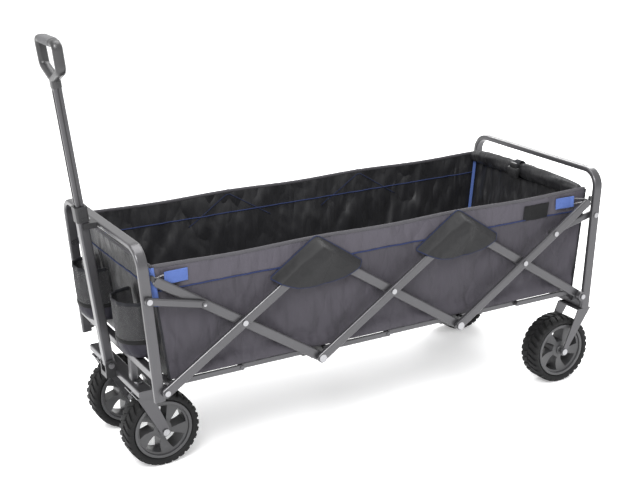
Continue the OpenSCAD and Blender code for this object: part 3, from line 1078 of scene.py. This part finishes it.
    def build(self) -> None:
        """Sews the whole tub."""
        props = self.prop_shares(False)
        left = self.wall_between("tub_wall_left", (End.FRONT, Side.LEFT), (End.REAR, Side.LEFT),
                                 Vector((0, -1, 0)), props, 1.0)
        right = self.wall_between("tub_wall_right", (End.REAR, Side.RIGHT), (End.FRONT, Side.RIGHT),
                                  Vector((0, 1, 0)), props, 12.0)
        front = self.wall_between("tub_wall_front", (End.FRONT, Side.RIGHT), (End.FRONT, Side.LEFT),
                                  Vector((-1, 0, 0)), (), 23.0)
        rear = self.wall_between("tub_wall_rear", (End.REAR, Side.LEFT), (End.REAR, Side.RIGHT),
                                 Vector((1, 0, 0)), (), 34.0)
        for wall in (left, right):
            obj = self.sew_wall(wall, [GREY_CLOTH, LINING], "front_frame", (132, 30), True)
            self.trim(wall, "front_frame", True)
            self.sew_flap_seams(wall)
            if wall is left:
                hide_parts("tub_sides")
        obj = self.sew_wall(front, [LINING, LINING], "front_frame", (52, 30), False)
        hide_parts("tub_front")
        self.trim(front, "front_frame", False)
        obj = self.sew_wall(rear, [GREY_CLOTH, LINING], "rear_frame", (52, 30), False)
        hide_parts("tub_rear")
        self.lay_mat()
        for end in End:
            for side in Side:
                self.sew_flap(end, side)
                self.sew_tab(end, side)
                self.bind_corner(end, side)
        self.sew_patch(left)
        self.roll_rear_hem()
        for side in Side:
            self.sew_pocket(side)

    def lay_mat(self) -> None:
        """Lays the padded floor mat with its sewn cross channels."""
        low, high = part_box("tub_floor_mat")
        low, high = low - Vector((0.005, 0.0055, 0.0)), high + Vector((0.005, 0.0055, 0.0))
        length, width = high.x - low.x, high.y - low.y
        seams = [(self.plan.pivots[n].x - low.x) / length for n in ("low_joint_front", "low_joint_rear")]
        stops = [0.0, *seams, 1.0]

        def place(u: float, t: float) -> Vector:
            x, y = u * length, t * width
            near = min(abs(u - s) for s in stops) * length
            edge = min(t, 1 - t) * width
            crown = 0.0042 * step_up(min(near, edge), 0.0, 0.035)
            soft = 0.0006 * ripple(x, y, 9.0, 50.0)
            return Vector((low.x + x, low.y + y, low.z + 0.003 + crown + soft))

        obj = Piece("tub_floor_pad", surface(120, 46, place, (length, width)), [MAT_CLOTH], "front_frame",
                    crease=180.0).build()
        thicken(obj, 0.003, -1.0)
        smooth_out(obj)
        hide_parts("tub_floor_mat")
        self.plan.crumple(obj)

    def flap_lift(self, dx: float, dz: float) -> float:
        """How far a flap stands off the wall where it runs over the arms and their rivet.

        Args:
            dx: the distance behind the high joint.
            dz: the height above the high joint.

        Returns:
            The distance from the wall.
        """
        c, s = math.cos(self.plan.arm_angle), math.sin(self.plan.arm_angle)
        outer = abs(dx * s - dz * c) if dx < 0.012 else math.hypot(dx, dz)
        inner = abs(dx * s + dz * c) if dx > -0.012 else math.hypot(dx, dz)
        over_outer = 0.0275 * (1 - step_up(outer, 0.013, 0.10))
        over_inner = 0.0165 * (1 - step_up(inner, 0.013, 0.09))
        rivet = 0.0300 * (1 - step_up(math.hypot(dx, dz), 0.010, 0.075))
        return (over_outer**5 + over_inner**5 + rivet**5 + 0.004**5) ** 0.2

    def sew_flap(self, end: End, side: Side) -> None:
        """Sews the pointed flap that covers a high joint, with its bound edge."""
        centre = self.plan.at(end, self.plan.high_joint)
        half, skin = 0.126, self.skin

        def outline(u: float) -> tuple[float, float]:
            """The lower and upper edge at a share across, from the joint's height."""
            return -0.083 + 0.036 * u * u, 0.039 - 0.086 * (math.sqrt(u * u + 0.0016) - 0.04)

        def place(share: float, t: float) -> Vector:
            u = 2 * share - 1
            low, high = outline(u)
            dx, dz = half * u, low + (high - low) * t
            sewn = (high - dz) * 0.85
            lift = self.flap_lift(dx, dz) * step_up(sewn, 0.0, 0.02)
            crease = 1 - abs(ripple(dx + dz, dz - dx, 22.0, 5.0 * end.value + side.value)) * 2.2
            lift += 0.0016 * crease * step_up(sewn, 0.0, 0.03)
            return Vector((centre.x + dx, -(skin + 0.0012 + lift), centre.z + dz))

        name = f"flap_{end.label}_{side.label}"
        shape = surface(72, 44, place, (2 * half, 0.13))
        count = 60
        lower = [place(k / count, 0.0) for k in range(count + 1)]
        upper = [place(1 - k / count, 1.0) for k in range(count + 1)]
        edge = sweep(resample([*lower, *upper], 0.006, True), (0.0036, 0.0036), Vector((0.0, -1.0, 0.0)), 8,
                     closed=True)
        if side is Side.RIGHT:
            mirrored(shape, "Y")
            mirrored(edge, "Y")
        obj = Piece(name, shape, [FLAP_CLOTH], "front_frame", crease=180.0).build()
        thicken(obj, 0.0014, 1.0)
        smooth_out(obj)
        binding = Piece(f"{name}_binding", edge, [BLUE_EDGE], "front_frame", crease=180.0).build()
        if side is Side.LEFT:
            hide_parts("flaps_front" if end is End.FRONT else "flaps_rear")
        self.plan.crumple(obj)
        self.plan.crumple(binding)

    def sew_tab(self, end: End, side: Side) -> None:
        """Sews the webbing tab at a corner and hangs its wire hook on the arm's end."""
        reach = 0.028 if end is End.FRONT else 0.046
        start = self.edge_x(End.FRONT, 0.522) + (0.026 if end is End.FRONT else 0.042)
        width, low, high = 0.060, 0.507, 0.538
        layer = 0.2573 if end is End.FRONT else 0.2695

        def place(u: float, t: float) -> Vector:
            x = start + width * u
            off = 0.0018 + 0.0016 * math.sin(math.pi * u) + 0.0005 * ripple(x, t, 40.0, 8.0)
            y = -(self.skin + off + (0.004 * (1 - step_up(u, 0.0, 0.2))))
            return self.plan.at(end, Vector((x, y, low + (high - low) * t + 0.001 * ripple(u, t, 2.0, 4.0))))

        shape = surface(24, 12, place, (width, high - low))
        if end is End.REAR:
            bmesh.ops.reverse_faces(shape, faces=shape.faces)
        tip = start - reach
        wire = [
            Vector((start + 0.004, -(self.skin + 0.0052), 0.515)),
            Vector((start - 0.006, -(self.skin + 0.0065), 0.5165)),
            Vector((tip + 0.012, -layer, 0.521)),
            Vector((tip, -layer, 0.5245)),
            Vector((tip + 0.001, -layer, 0.5285)),
            Vector((tip + 0.012, -layer, 0.5275)),
            Vector((start - 0.006, -(self.skin + 0.0065), 0.5305)),
            Vector((start + 0.004, -(self.skin + 0.0052), 0.531)),
        ]
        hook = sweep([self.plan.at(end, p) for p in resample(wire, 0.003)], (0.0032, 0.0032),
                     Vector((0.0, -1.0, 0.0)), 8)
        if side is Side.RIGHT:
            mirrored(shape, "Y")
            mirrored(hook, "Y")
        body = "front_frame" if end is End.FRONT else "rear_frame"
        name = f"tab_{end.label}_{side.label}"
        tab = Piece(name, shape, [BLUE_TAPE], body, crease=180.0).build()
        thicken(tab, 0.0018, 1.0)
        smooth_out(tab)
        Piece(f"{name}_hook", hook, [ZINC], body).build()

    def bind_corner(self, end: End, side: Side) -> None:
        """Sews the tape down the inside and the binding down the outside of an upright corner."""
        low, high = self.plan.tub_low.z + 0.004, self.plan.tub_high.z - 0.002
        body = "front_frame" if end is End.FRONT else "rear_frame"
        inward = Vector((-end.value, -side.value, 0.0)).normalized()
        heights = [low + (high - low) * k / 24 for k in range(25)]
        sway = [0.002 * ripple(z, 0.0, 9.0, 70.0 + side.value) for z in heights]
        inner = [self.corner(end, side, z) + inward * (0.0175 + s) for z, s in zip(heights, sway)]
        outer = [self.corner(end, side, z) + inward * 0.001 for z in heights]
        tape = sweep(inner, (0.0090, 0.0014), inward, 12, 0.5)
        Piece(f"corner_tape_{end.label}_{side.label}", tape, [BLUE_TAPE], body, crease=180.0).build()
        binding = sweep(outer, (0.0050, 0.0050), inward, 8)
        Piece(f"corner_binding_{end.label}_{side.label}", binding, [DARK_TAPE], body, crease=180.0).build()
        if end is End.FRONT:
            webbing = sweep(outer[16:], (0.0150, 0.0066), inward, 12, 0.6)
            Piece(f"corner_webbing_{side.label}", webbing, [BLUE_TAPE], body, crease=180.0).build()

    def sew_patch(self, wall: Wall) -> None:
        """Sews the plain dark patch on the left wall, near the rear."""
        low, high = 0.489, 0.531
        left, right = 0.470, 0.553
        start, end = wall.flat(0.0, 0.8).x, wall.flat(1.0, 0.8).x

        def place(u: float, t: float) -> Vector:
            x = left + (right - left) * u
            return self.touch(wall, (x - start) / (end - start), low + (high - low) * t, 0.0012)

        patch = Piece("side_patch", surface(20, 14, place, (right - left, high - low)), [PATCH_CLOTH],
                      "front_frame", crease=180.0).build()
        thicken(patch, 0.0016, 1.0)
        smooth_out(patch)
        self.plan.crumple(patch)

    def roll_rear_hem(self) -> None:
        """Makes the padded roll along the rear wall's upper edge with its strap and buckle."""
        x, z = self.edge_x(End.REAR, 0.552) - 0.016, 0.549
        half = self.skin - 0.006

        def place(turn: float, share: float) -> Vector:
            y = -half + 2 * half * share
            body = math.sin(math.pi * share) ** 0.35
            angle = math.tau * turn
            spin = 3.0 * math.cos(angle), 3.0 * math.sin(angle)
            puff = 1 + 0.12 * ripple(y, 0.0, 26.0, 61.0) + 0.16 * ripple(y * 14 + spin[0], spin[1] * 0.5, 1.0, 62.0)
            cinch = 1 - 0.16 * math.exp(-(((y - 0.020) / 0.022) ** 2))
            deep, tall = 0.0128 * puff * cinch, 0.0232 * puff * cinch * (0.55 + 0.45 * body)
            sway = 0.0045 * ripple(y, 0.0, 8.0, 63.0)
            return Vector((x + sway + deep * math.cos(angle), y, z - 0.006 * (1 - body) + tall * math.sin(angle)))

        shape = surface(28, 110, place, (0.12, 2 * half))
        bmesh.ops.holes_fill(shape, edges=[e for e in shape.edges if e.is_boundary], sides=40)
        bmesh.ops.recalc_face_normals(shape, faces=shape.faces)
        roll = Piece("rear_hem_roll", shape, [LINING], "rear_frame", crease=180.0).build()
        smooth_out(roll)
        loop = [Vector((x + 0.0155 * math.cos(a), 0.020, z + 0.0265 * math.sin(a))) for a in
                (math.tau * k / 28 for k in range(28))]
        strap = sweep(loop, (0.025, 0.0016), Vector((0.0, 0.0, 1.0)), 12, 0.5, closed=True)
        bmesh.ops.transform(strap, matrix=Matrix.Identity(4), verts=strap.verts)
        band = surface(28, 6, lambda u, t: Vector((x + 0.0162 * math.cos(math.tau * u), 0.0075 + 0.025 * t,
                                                   z + 0.0268 * math.sin(math.tau * u))), (0.15, 0.025))
        strap.free()
        loop_piece = Piece("rear_roll_strap", band, [DARK_TAPE], "rear_frame", crease=180.0).build()
        thicken(loop_piece, 0.0016, 0.0)
        parts = [
            block(Vector((0.010, 0.038, 0.028)), Vector((x - 0.021, 0.020, z - 0.006)), 0.003),
            block(Vector((0.008, 0.029, 0.016)), Vector((x - 0.0210, 0.020, z + 0.015)), 0.0025),
            block(Vector((0.012, 0.007, 0.020)), Vector((x - 0.0215, 0.0015, z - 0.001)), 0.002),
            block(Vector((0.012, 0.007, 0.020)), Vector((x - 0.0215, 0.0385, z - 0.001)), 0.002),
        ]
        Piece("rear_roll_buckle", join(parts), [GRIP_PLASTIC], "rear_frame").build()

    def sew_pocket(self, side: Side) -> None:
        """Sews one bottle pocket on the front wall: a cloth cup, a band, netting and an elastic rim."""
        low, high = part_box("bottle_pockets")
        centre, half = 0.140 * side.value, 0.061
        band, bottom, rim = 0.352, low.z, high.z
        front = low.x + 0.001

        def ring(share: float, height: float) -> Vector:
            """A point on the pocket's wall, from one side of it to the other."""
            rise = height - bottom
            rounding = math.sqrt(max(0.0, 1 - (max(0.0, 0.042 - rise) / 0.042) ** 2)) * 0.5 + 0.5
            taper = rounding * (0.9 + 0.1 * step_up(rise, 0.0, 0.13))
            angle = math.pi * (share - 0.5)
            back = self.edge_x(End.FRONT, height) + 0.001
            depth = (back - front) * taper
            gather = 1 + 0.018 * math.sin(share * 44.0) * step_up(height, band + 0.02, rim)
            y = centre - half * taper * gather * math.copysign(abs(math.sin(angle)) ** 0.85, math.sin(angle))
            return Vector((back - depth * gather * math.cos(angle) ** 0.8, y, height))

        def cup(u: float, t: float) -> Vector:
            if t > 0.25:
                return ring(u, bottom + (band - bottom) * (t - 0.25) / 0.75)
            edge = ring(u, bottom)
            middle = Vector((self.edge_x(End.FRONT, bottom) - 0.02, centre, bottom + 0.001))
            return middle.lerp(edge, t / 0.25)

        name = f"pocket_{side.label}"
        cloth = Piece(f"{name}_cup", surface(40, 20, cup, (0.2, 0.08)), [CUP_CLOTH], "front_frame",
                      crease=180.0).build()
        thicken(cloth, 0.0016, -1.0)
        smooth_out(cloth)
        net = Piece(f"{name}_net", surface(48, 18, lambda u, t: ring(u, band + (rim - band) * t), (0.2, 0.1)),
                    [POCKET_NET], "front_frame", crease=180.0).build()
        thicken(net, 0.0008, -1.0)
        smooth_out(net)
        for label, height, tall, finish in (("band", band, 0.011, PATCH_CLOTH), ("rim", rim - 0.003, 0.009, DARK_TAPE)):
            path = [ring(0.01 + 0.98 * k / 60, height) for k in range(61)]
            shape = sweep(path, (0.0034, tall), Vector((0.0, 0.0, 1.0)), 10, 0.7)
            Piece(f"{name}_{label}", shape, [finish], "front_frame", crease=180.0).build()
        around = run_length([ring(k / 60, band) for k in range(61)])
        rows = [[cup(k / 60, t / 40) for k in range(61)] for t in range(41)]
        steps = [(upper[30] - lower[30]).length for lower, upper in zip(rows, rows[1:])]
        cut = sum(run_length(row) * step for row, step in zip(rows[1:], steps))
        if side is Side.LEFT:
            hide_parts("bottle_pockets")


def run_length(points: list[Vector]) -> float:
    """Measures a line of points.

    Args:
        points: the points in order.

    Returns:
        The length from the first point to the last.
    """
    return sum((b - a).length for a, b in zip(points, points[1:]))


def hang(obj: bpy.types.Object, wall: Wall, piping_height: float) -> None:
    """Lets a wall hang and wrinkle between the edges that hold it, and keeps the result.

    Args:
        obj: the wall's object.
        wall: where it lies.
        piping_height: the sewn line that moves less than the rest.
    """
    low, high = wall.low_left.z, wall.high_left.z
    across = (wall.high_right - wall.high_left).normalized()
    span = wall.width
    pins = obj.vertex_groups.new(name="pins")
    for vert in obj.data.vertices:
        from_side = (vert.co - wall.high_left).dot(across)
        edge = min(vert.co.z - low, from_side, span - from_side)
        near_top = high - vert.co.z < 0.006
        sewn = abs(vert.co.z - piping_height) < 0.006
        weight = 1.0 if edge < 0.02 or near_top else 0.4 if sewn else 0.0
        if weight:
            pins.add([vert.index], weight, "REPLACE")
    cloth = obj.modifiers.new("Cloth", "CLOTH")
    cloth.settings.vertex_group_mass = "pins"
    cloth.settings.pin_stiffness = 8.0
    cloth.settings.quality = 5
    cloth.settings.mass = 0.35
    cloth.settings.shrink_min = -0.012
    cloth.settings.tension_stiffness = 25.0
    cloth.settings.compression_stiffness = 25.0
    cloth.settings.shear_stiffness = 12.0
    cloth.settings.bending_stiffness = 1.4
    cloth.collision_settings.use_collision = False
    scene = bpy.context.scene
    cloth.point_cache.frame_end = 22
    for frame in range(1, 23):
        scene.frame_set(frame)
    settled = obj.evaluated_get(bpy.context.evaluated_depsgraph_get())
    points = [v.co.copy() for v in settled.data.vertices]
    obj.modifiers.remove(cloth)
    obj.vertex_groups.clear()
    scene.frame_set(1)
    for vert, point in zip(obj.data.vertices, points):
        vert.co = point


# ---------------------------------------------------------------- wheels


@dataclass
class Wheel:
    """One wheel: a lugged tyre on a moulded five-spoke rim."""

    name: str
    body: str
    radius: float = 0.095
    pitches: int = 30
    skew: float = 4.2
    lug: float = 0.0036

    @property
    def centre(self) -> Vector:
        """The middle of the wheel, from its frame tyre."""
        low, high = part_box(f"tyre_{self.name}")
        return (low + high) / 2

    @property
    def outward(self) -> float:
        """The sign of Y away from the cart's middle."""
        return math.copysign(1.0, self.centre.y)

    def profile(self) -> list[tuple[float, float, float]]:
        """The tyre's section as (distance across, radius, lug height), round from the centre and back."""
        base = self.radius - self.lug
        half = [
            (0.0012, base, 0.0),
            (0.0022, base, 1.0),
            (0.0100, base - 0.0001, 1.0),
            (0.0190, base - 0.0004, 1.0),
            (0.0270, base - 0.0011, 1.0),
            (0.0306, base - 0.0026, 0.8),
            (0.0322, base - 0.0052, 0.5),
            (0.0327, base - 0.0090, 0.25),
            (0.0322, base - 0.0105, 0.0),
            (0.0300, base - 0.0142, 0.0),
            (0.0268, base - 0.0160, 0.0),
            (0.0240, base - 0.0166, 0.0),
        ]
        return [*half, *((-y, r, h) for y, r, h in reversed(half))]

    def make_tyre(self) -> bpy.types.Object:
        """Moulds the tyre with its staggered chevron lugs."""
        rows = self.profile()
        per_pitch = 10
        columns = self.pitches * per_pitch

        def place(u: float, t: float) -> Vector:
            y, radius, height = rows[round(t * len(rows)) % len(rows)]
            column = round(u * columns) % columns
            phase = column % per_pitch
            tall = 1.0 if 1 <= phase <= 7 else 0.0
            stagger = 0.5 if y > 0 else 0.0
            draft = {0: 0.62, 8: -0.62}.get(phase, 0.0)
            pitch = math.tau / self.pitches
            angle = (column + draft) * pitch / per_pitch + stagger * pitch + self.skew * min(abs(y), 0.031)
            out = radius + self.lug * height * tall
            side = y * (1 + 0.012 * tall * (height > 0))
            return Vector((out * math.cos(angle), side, out * math.sin(angle)))

        shape = surface(columns, len(rows), place, (math.tau * self.radius, 0.12))
        bmesh.ops.recalc_face_normals(shape, faces=shape.faces)
        bmesh.ops.translate(shape, vec=self.centre, verts=shape.verts)
        obj = Piece(f"{self.name}_lugged_tyre", shape, [TYRE], self.body, crease=38.0).build()
        soften(obj, 0.0005, 1)
        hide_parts(f"tyre_{self.name}")
        return obj

    def make_rim(self) -> bpy.types.Object:
        """Moulds the rim: a lipped ring, a dished web with five openings and a hub."""
        ring = lathe(
            [
                (0.0662, -0.0270), (0.0668, -0.0300), (0.0690, -0.0308), (0.0744, -0.0300), (0.0748, -0.0282),
                (0.0738, -0.0262), (0.0738, 0.0262), (0.0748, 0.0282), (0.0744, 0.0300), (0.0690, 0.0308),
                (0.0668, 0.0300), (0.0662, 0.0270), (0.0652, 0.0100), (0.0652, -0.0100), (0.0662, -0.0270),
            ],
            80,
        )
        hub = lathe(
            [
                (0.0052, -0.0300), (0.0120, -0.0306), (0.0134, -0.0290), (0.0142, -0.0120), (0.0142, 0.0120),
                (0.0134, 0.0290), (0.0120, 0.0306), (0.0052, 0.0300), (0.0052, -0.0300),
            ],
            48,
        )
        shape = join([ring, hub, self.make_web()])
        bmesh.ops.translate(shape, vec=self.centre, verts=shape.verts)
        obj = Piece(f"{self.name}_moulded_rim", shape, [RIM_PLASTIC], self.body, crease=35.0).build()
        soften(obj, 0.0007, 2)
        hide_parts(f"rim_{self.name}")
        return obj

    @staticmethod
    def make_web() -> bmesh.types.BMesh:
        """The five broad spokes, dished on both faces, with deep openings between them.

        Returns:
            The closed web.
        """
        radii = (0.0125, 0.0180, 0.0235, 0.0330, 0.0440, 0.0540, 0.0612, 0.0668)
        per_spoke = 12
        columns = 5 * per_spoke
        depth = {0: 0.0250, 1: 0.0240, 2: 0.0215, 3: 0.0195, 4: 0.0190, 5: 0.0205, 6: 0.0225, 7: 0.0245}

        def place(u: float, t: float) -> Vector:
            row = round(t * (len(radii) - 1))
            column = round(u * columns) % columns
            radius = radii[row]
            turn = math.tau * column / columns + 4.5 * (radius - 0.04)
            return Vector((radius * math.cos(turn), depth[row], radius * math.sin(turn)))

        web = surface(columns, len(radii) - 1, place, (math.tau * 0.05, 0.055))
        opening = []
        for poly in web.faces:
            centre = poly.calc_center_median()
            radius = math.hypot(centre.x, centre.z)
            turn = math.atan2(centre.z, centre.x) - 4.5 * (radius - 0.04)
            phase = (turn / math.tau * 5) % 1.0
            if 0.0235 < radius < 0.0612 and phase < 0.6:
                opening.append(poly)
        bmesh.ops.delete(web, geom=opening, context="FACES")
        walls = bmesh.ops.extrude_face_region(web, geom=list(web.faces))
        moved = [v for v in walls["geom"] if isinstance(v, bmesh.types.BMVert)]
        for vert in moved:
            vert.co.y = -vert.co.y
        bmesh.ops.recalc_face_normals(web, faces=web.faces)
        return web

    def build(self) -> None:
        """Makes the tyre and the rim."""
        self.make_tyre()
        self.make_rim()


# ---------------------------------------------------------------- handle


@dataclass
class Grip:
    """The handle's looped grip with its ribbed insert."""

    plan: Plan
    foot: float = 0.712
    lean: float = math.radians(6.2)

    def at(self, across: float, along: float, out: float = 0.0) -> Vector:
        """A point from the distances across and along the handle and out of its front face."""
        pivot = self.plan.pivots["handle_tilt"]
        up = Vector((-math.sin(self.lean), 0.0, math.cos(self.lean)))
        front = Vector((-math.cos(self.lean), 0.0, -math.sin(self.lean)))
        return Vector((pivot.x, 0.0, pivot.z)) + up * (self.foot + along) + front * out + Vector((0, across, 0))

    def loop(self) -> list[Vector]:
        """The middle line of the loop: the tight outline round five circles."""
        circles = [(0.0525, 0.088, 0.0110), (-0.0525, 0.088, 0.0110), (0.0445, 0.048, 0.0170),
                   (-0.0445, 0.048, 0.0170), (0.0, 0.022, 0.0110)]
        outline = []
        for k in range(180):
            angle = math.tau * k / 180
            c, s = math.cos(angle), math.sin(angle)
            y, z, r = max(circles, key=lambda item: item[0] * c + item[1] * s + item[2])
            outline.append(self.at(y + r * c, z + r * s))
        return resample(outline, 0.0045, True)

    def build(self) -> None:
        """Makes the loop, its neck and the insert."""
        front = self.at(0, 0, 1) - self.at(0, 0)
        ring = sweep(self.loop(), (0.0185, 0.0245), front, 20, 0.78, closed=True)
        neck = sweep([self.at(0, -0.009 + 0.0022 * k) for k in range(12)], (0.031, 0.0235), front, 24, 0.6)
        obj = Piece("looped_grip", join([ring, neck]), [GRIP_PLASTIC], "handle_extension", crease=50.0).build()
        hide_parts("handle_grip")
        path = [self.at(-0.036 + 0.072 * k / 48, 0.0998) for k in range(49)]
        pad = sweep(path, (0.0212, 0.0272), front, 20, 0.78)
        for vert in pad.verts:
            wave = 0.5 + 0.5 * math.cos(math.tau * vert.co.y / 0.006)
            middle = self.at(vert.co.y, 0.0998)
            vert.co = middle + (vert.co - middle) * (1 - 0.05 * wave)
        insert = Piece("ribbed_insert", pad, [GRIP_RUBBER], "handle_extension", crease=180.0).build()
        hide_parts("grip_insert")


# ---------------------------------------------------------------- the studio


@dataclass(frozen=True)
class Studio:
    """The camera, the lights and the pale floor."""

    camera_at: Vector = Vector((-1.5132, -2.7083, 1.4395))
    yaw: float = math.radians(29.0086)
    pitch: float = math.radians(17.680)
    roll: float = math.radians(-0.868)
    lens: float = 68.79

    def place_camera(self) -> None:
        """Puts the camera where the cart was seen from."""
        ahead = Vector((
            math.cos(self.pitch) * math.sin(self.yaw),
            math.cos(self.pitch) * math.cos(self.yaw),
            -math.sin(self.pitch),
        ))
        right = Vector((math.cos(self.yaw), -math.sin(self.yaw), 0.0))
        up = right.cross(ahead)
        turned_right = right * math.cos(self.roll) + up * math.sin(self.roll)
        turned_up = up * math.cos(self.roll) - right * math.sin(self.roll)
        data = bpy.data.cameras.new("camera")
        data.lens = self.lens
        data.sensor_width = 36.0
        data.clip_end = 200.0
        camera = bpy.data.objects.new("camera", data)
        camera.matrix_world = Matrix((
            (turned_right.x, turned_up.x, -ahead.x, self.camera_at.x),
            (turned_right.y, turned_up.y, -ahead.y, self.camera_at.y),
            (turned_right.z, turned_up.z, -ahead.z, self.camera_at.z),
            (0.0, 0.0, 0.0, 1.0),
        ))
        bpy.context.scene.collection.objects.link(camera)
        bpy.context.scene.camera = camera

    @staticmethod
    def lay_floor() -> None:
        """Lays a wide pale floor under the wheels."""
        mesh = bpy.data.meshes.new("studio_floor")
        bm = bmesh.new()
        bmesh.ops.create_grid(bm, x_segments=2, y_segments=2, size=60.0)
        bm.to_mesh(mesh)
        bm.free()
        mesh.materials.append(FLOOR.material())
        floor = bpy.data.objects.new("studio_floor", mesh)
        bpy.context.scene.collection.objects.link(floor)

    @staticmethod
    def add_light(name: str, at: Vector, target: Vector, size: float, power: float) -> None:
        """Adds one soft square light that looks at the target."""
        data = bpy.data.lights.new(name, "AREA")
        data.shape = "SQUARE"
        data.size = size
        data.energy = power
        light = bpy.data.objects.new(name, data)
        light.location = at
        light.rotation_euler = (target - at).to_track_quat("-Z", "Y").to_euler()
        bpy.context.scene.collection.objects.link(light)

    def build(self) -> None:
        """Sets the whole studio up."""
        scene = bpy.context.scene
        scene.view_settings.view_transform = "Standard"
        world = bpy.data.worlds.new("studio_world")
        world.use_nodes = True
        world.node_tree.nodes["Background"].inputs[0].default_value = (1.0, 1.0, 1.0, 1.0)
        world.node_tree.nodes["Background"].inputs[1].default_value = 1.05
        scene.world = world
        target = Vector((0.0, 0.0, 0.4))
        self.add_light("key", Vector((-2.2, -2.6, 3.4)), target, 1.8, 190.0)
        self.add_light("top", Vector((0.4, 0.3, 4.2)), target, 3.0, 150.0)
        self.add_light("rim", Vector((3.0, 2.4, 2.6)), target, 2.0, 90.0)
        self.lay_floor()
        self.place_camera()


# ---------------------------------------------------------------- the frame's own nodes

SLOT_FINISHES: Mapping[str, Finish] = {
    "frame_paint": FRAME_PAINT,
    "zinc": ZINC,
    "black_plastic": BLACK_PLASTIC,
    "grip_rubber": GRIP_RUBBER,
    "rim_plastic": RIM_PLASTIC,
    "tyre": TYRE,
    "grey_cloth": GREY_CLOTH,
    "black_cloth": LINING,
    "pocket_cloth": POCKET_NET,
    "blue_cloth": BLUE_TAPE,
}


def dress_frame(frame: Mapping) -> None:
    """Gives every frame node the finish of its material slot.
    """
    for part in frame["record"]["subparts"]:
        node = frame["nodes"].get(part["node"])
        if node is None:
            continue
        finish = GROOVE_SHADE_PAINT if part["node"] == "handle_extension" else SLOT_FINISHES[part["material_slot"]]
        node.data.materials.clear()
        node.data.materials.append(finish.material())


def add_link_rivets() -> None:
    """Adds the rivet heads where the front links meet their arms."""
    low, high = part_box("links_front")
    reach = 0.009
    for side in Side:
        centre = Vector((high.x - reach, side.value * high.y, low.z + reach))
        head = lathe([(0.0, 0.0018), (0.0022, 0.0016), (0.0038, 0.0008), (0.0044, -0.0012), (0.0, -0.0012)], 28)
        if side is Side.LEFT:
            mirrored(head, "Y")
        bmesh.ops.translate(head, vec=centre, verts=head.verts)
        Piece(f"link_rivet_{side.label}", head, [ZINC], "link_front").build()


def main() -> None:
    """Builds the cart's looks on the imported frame."""
    logging.basicConfig(level=logging.INFO, format="%(name)s: %(message)s")
    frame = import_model()
    plan = Plan.read(frame["joints"])
    dress_frame(frame)
    Tub(plan).build()
    for label in ("front_left", "front_right", "rear_left", "rear_right"):
        Wheel(label, f"wheel_{label}").build()
    Grip(plan).build()
    add_link_rivets()
    Studio().build()


if __name__ == "__main__":
    main()
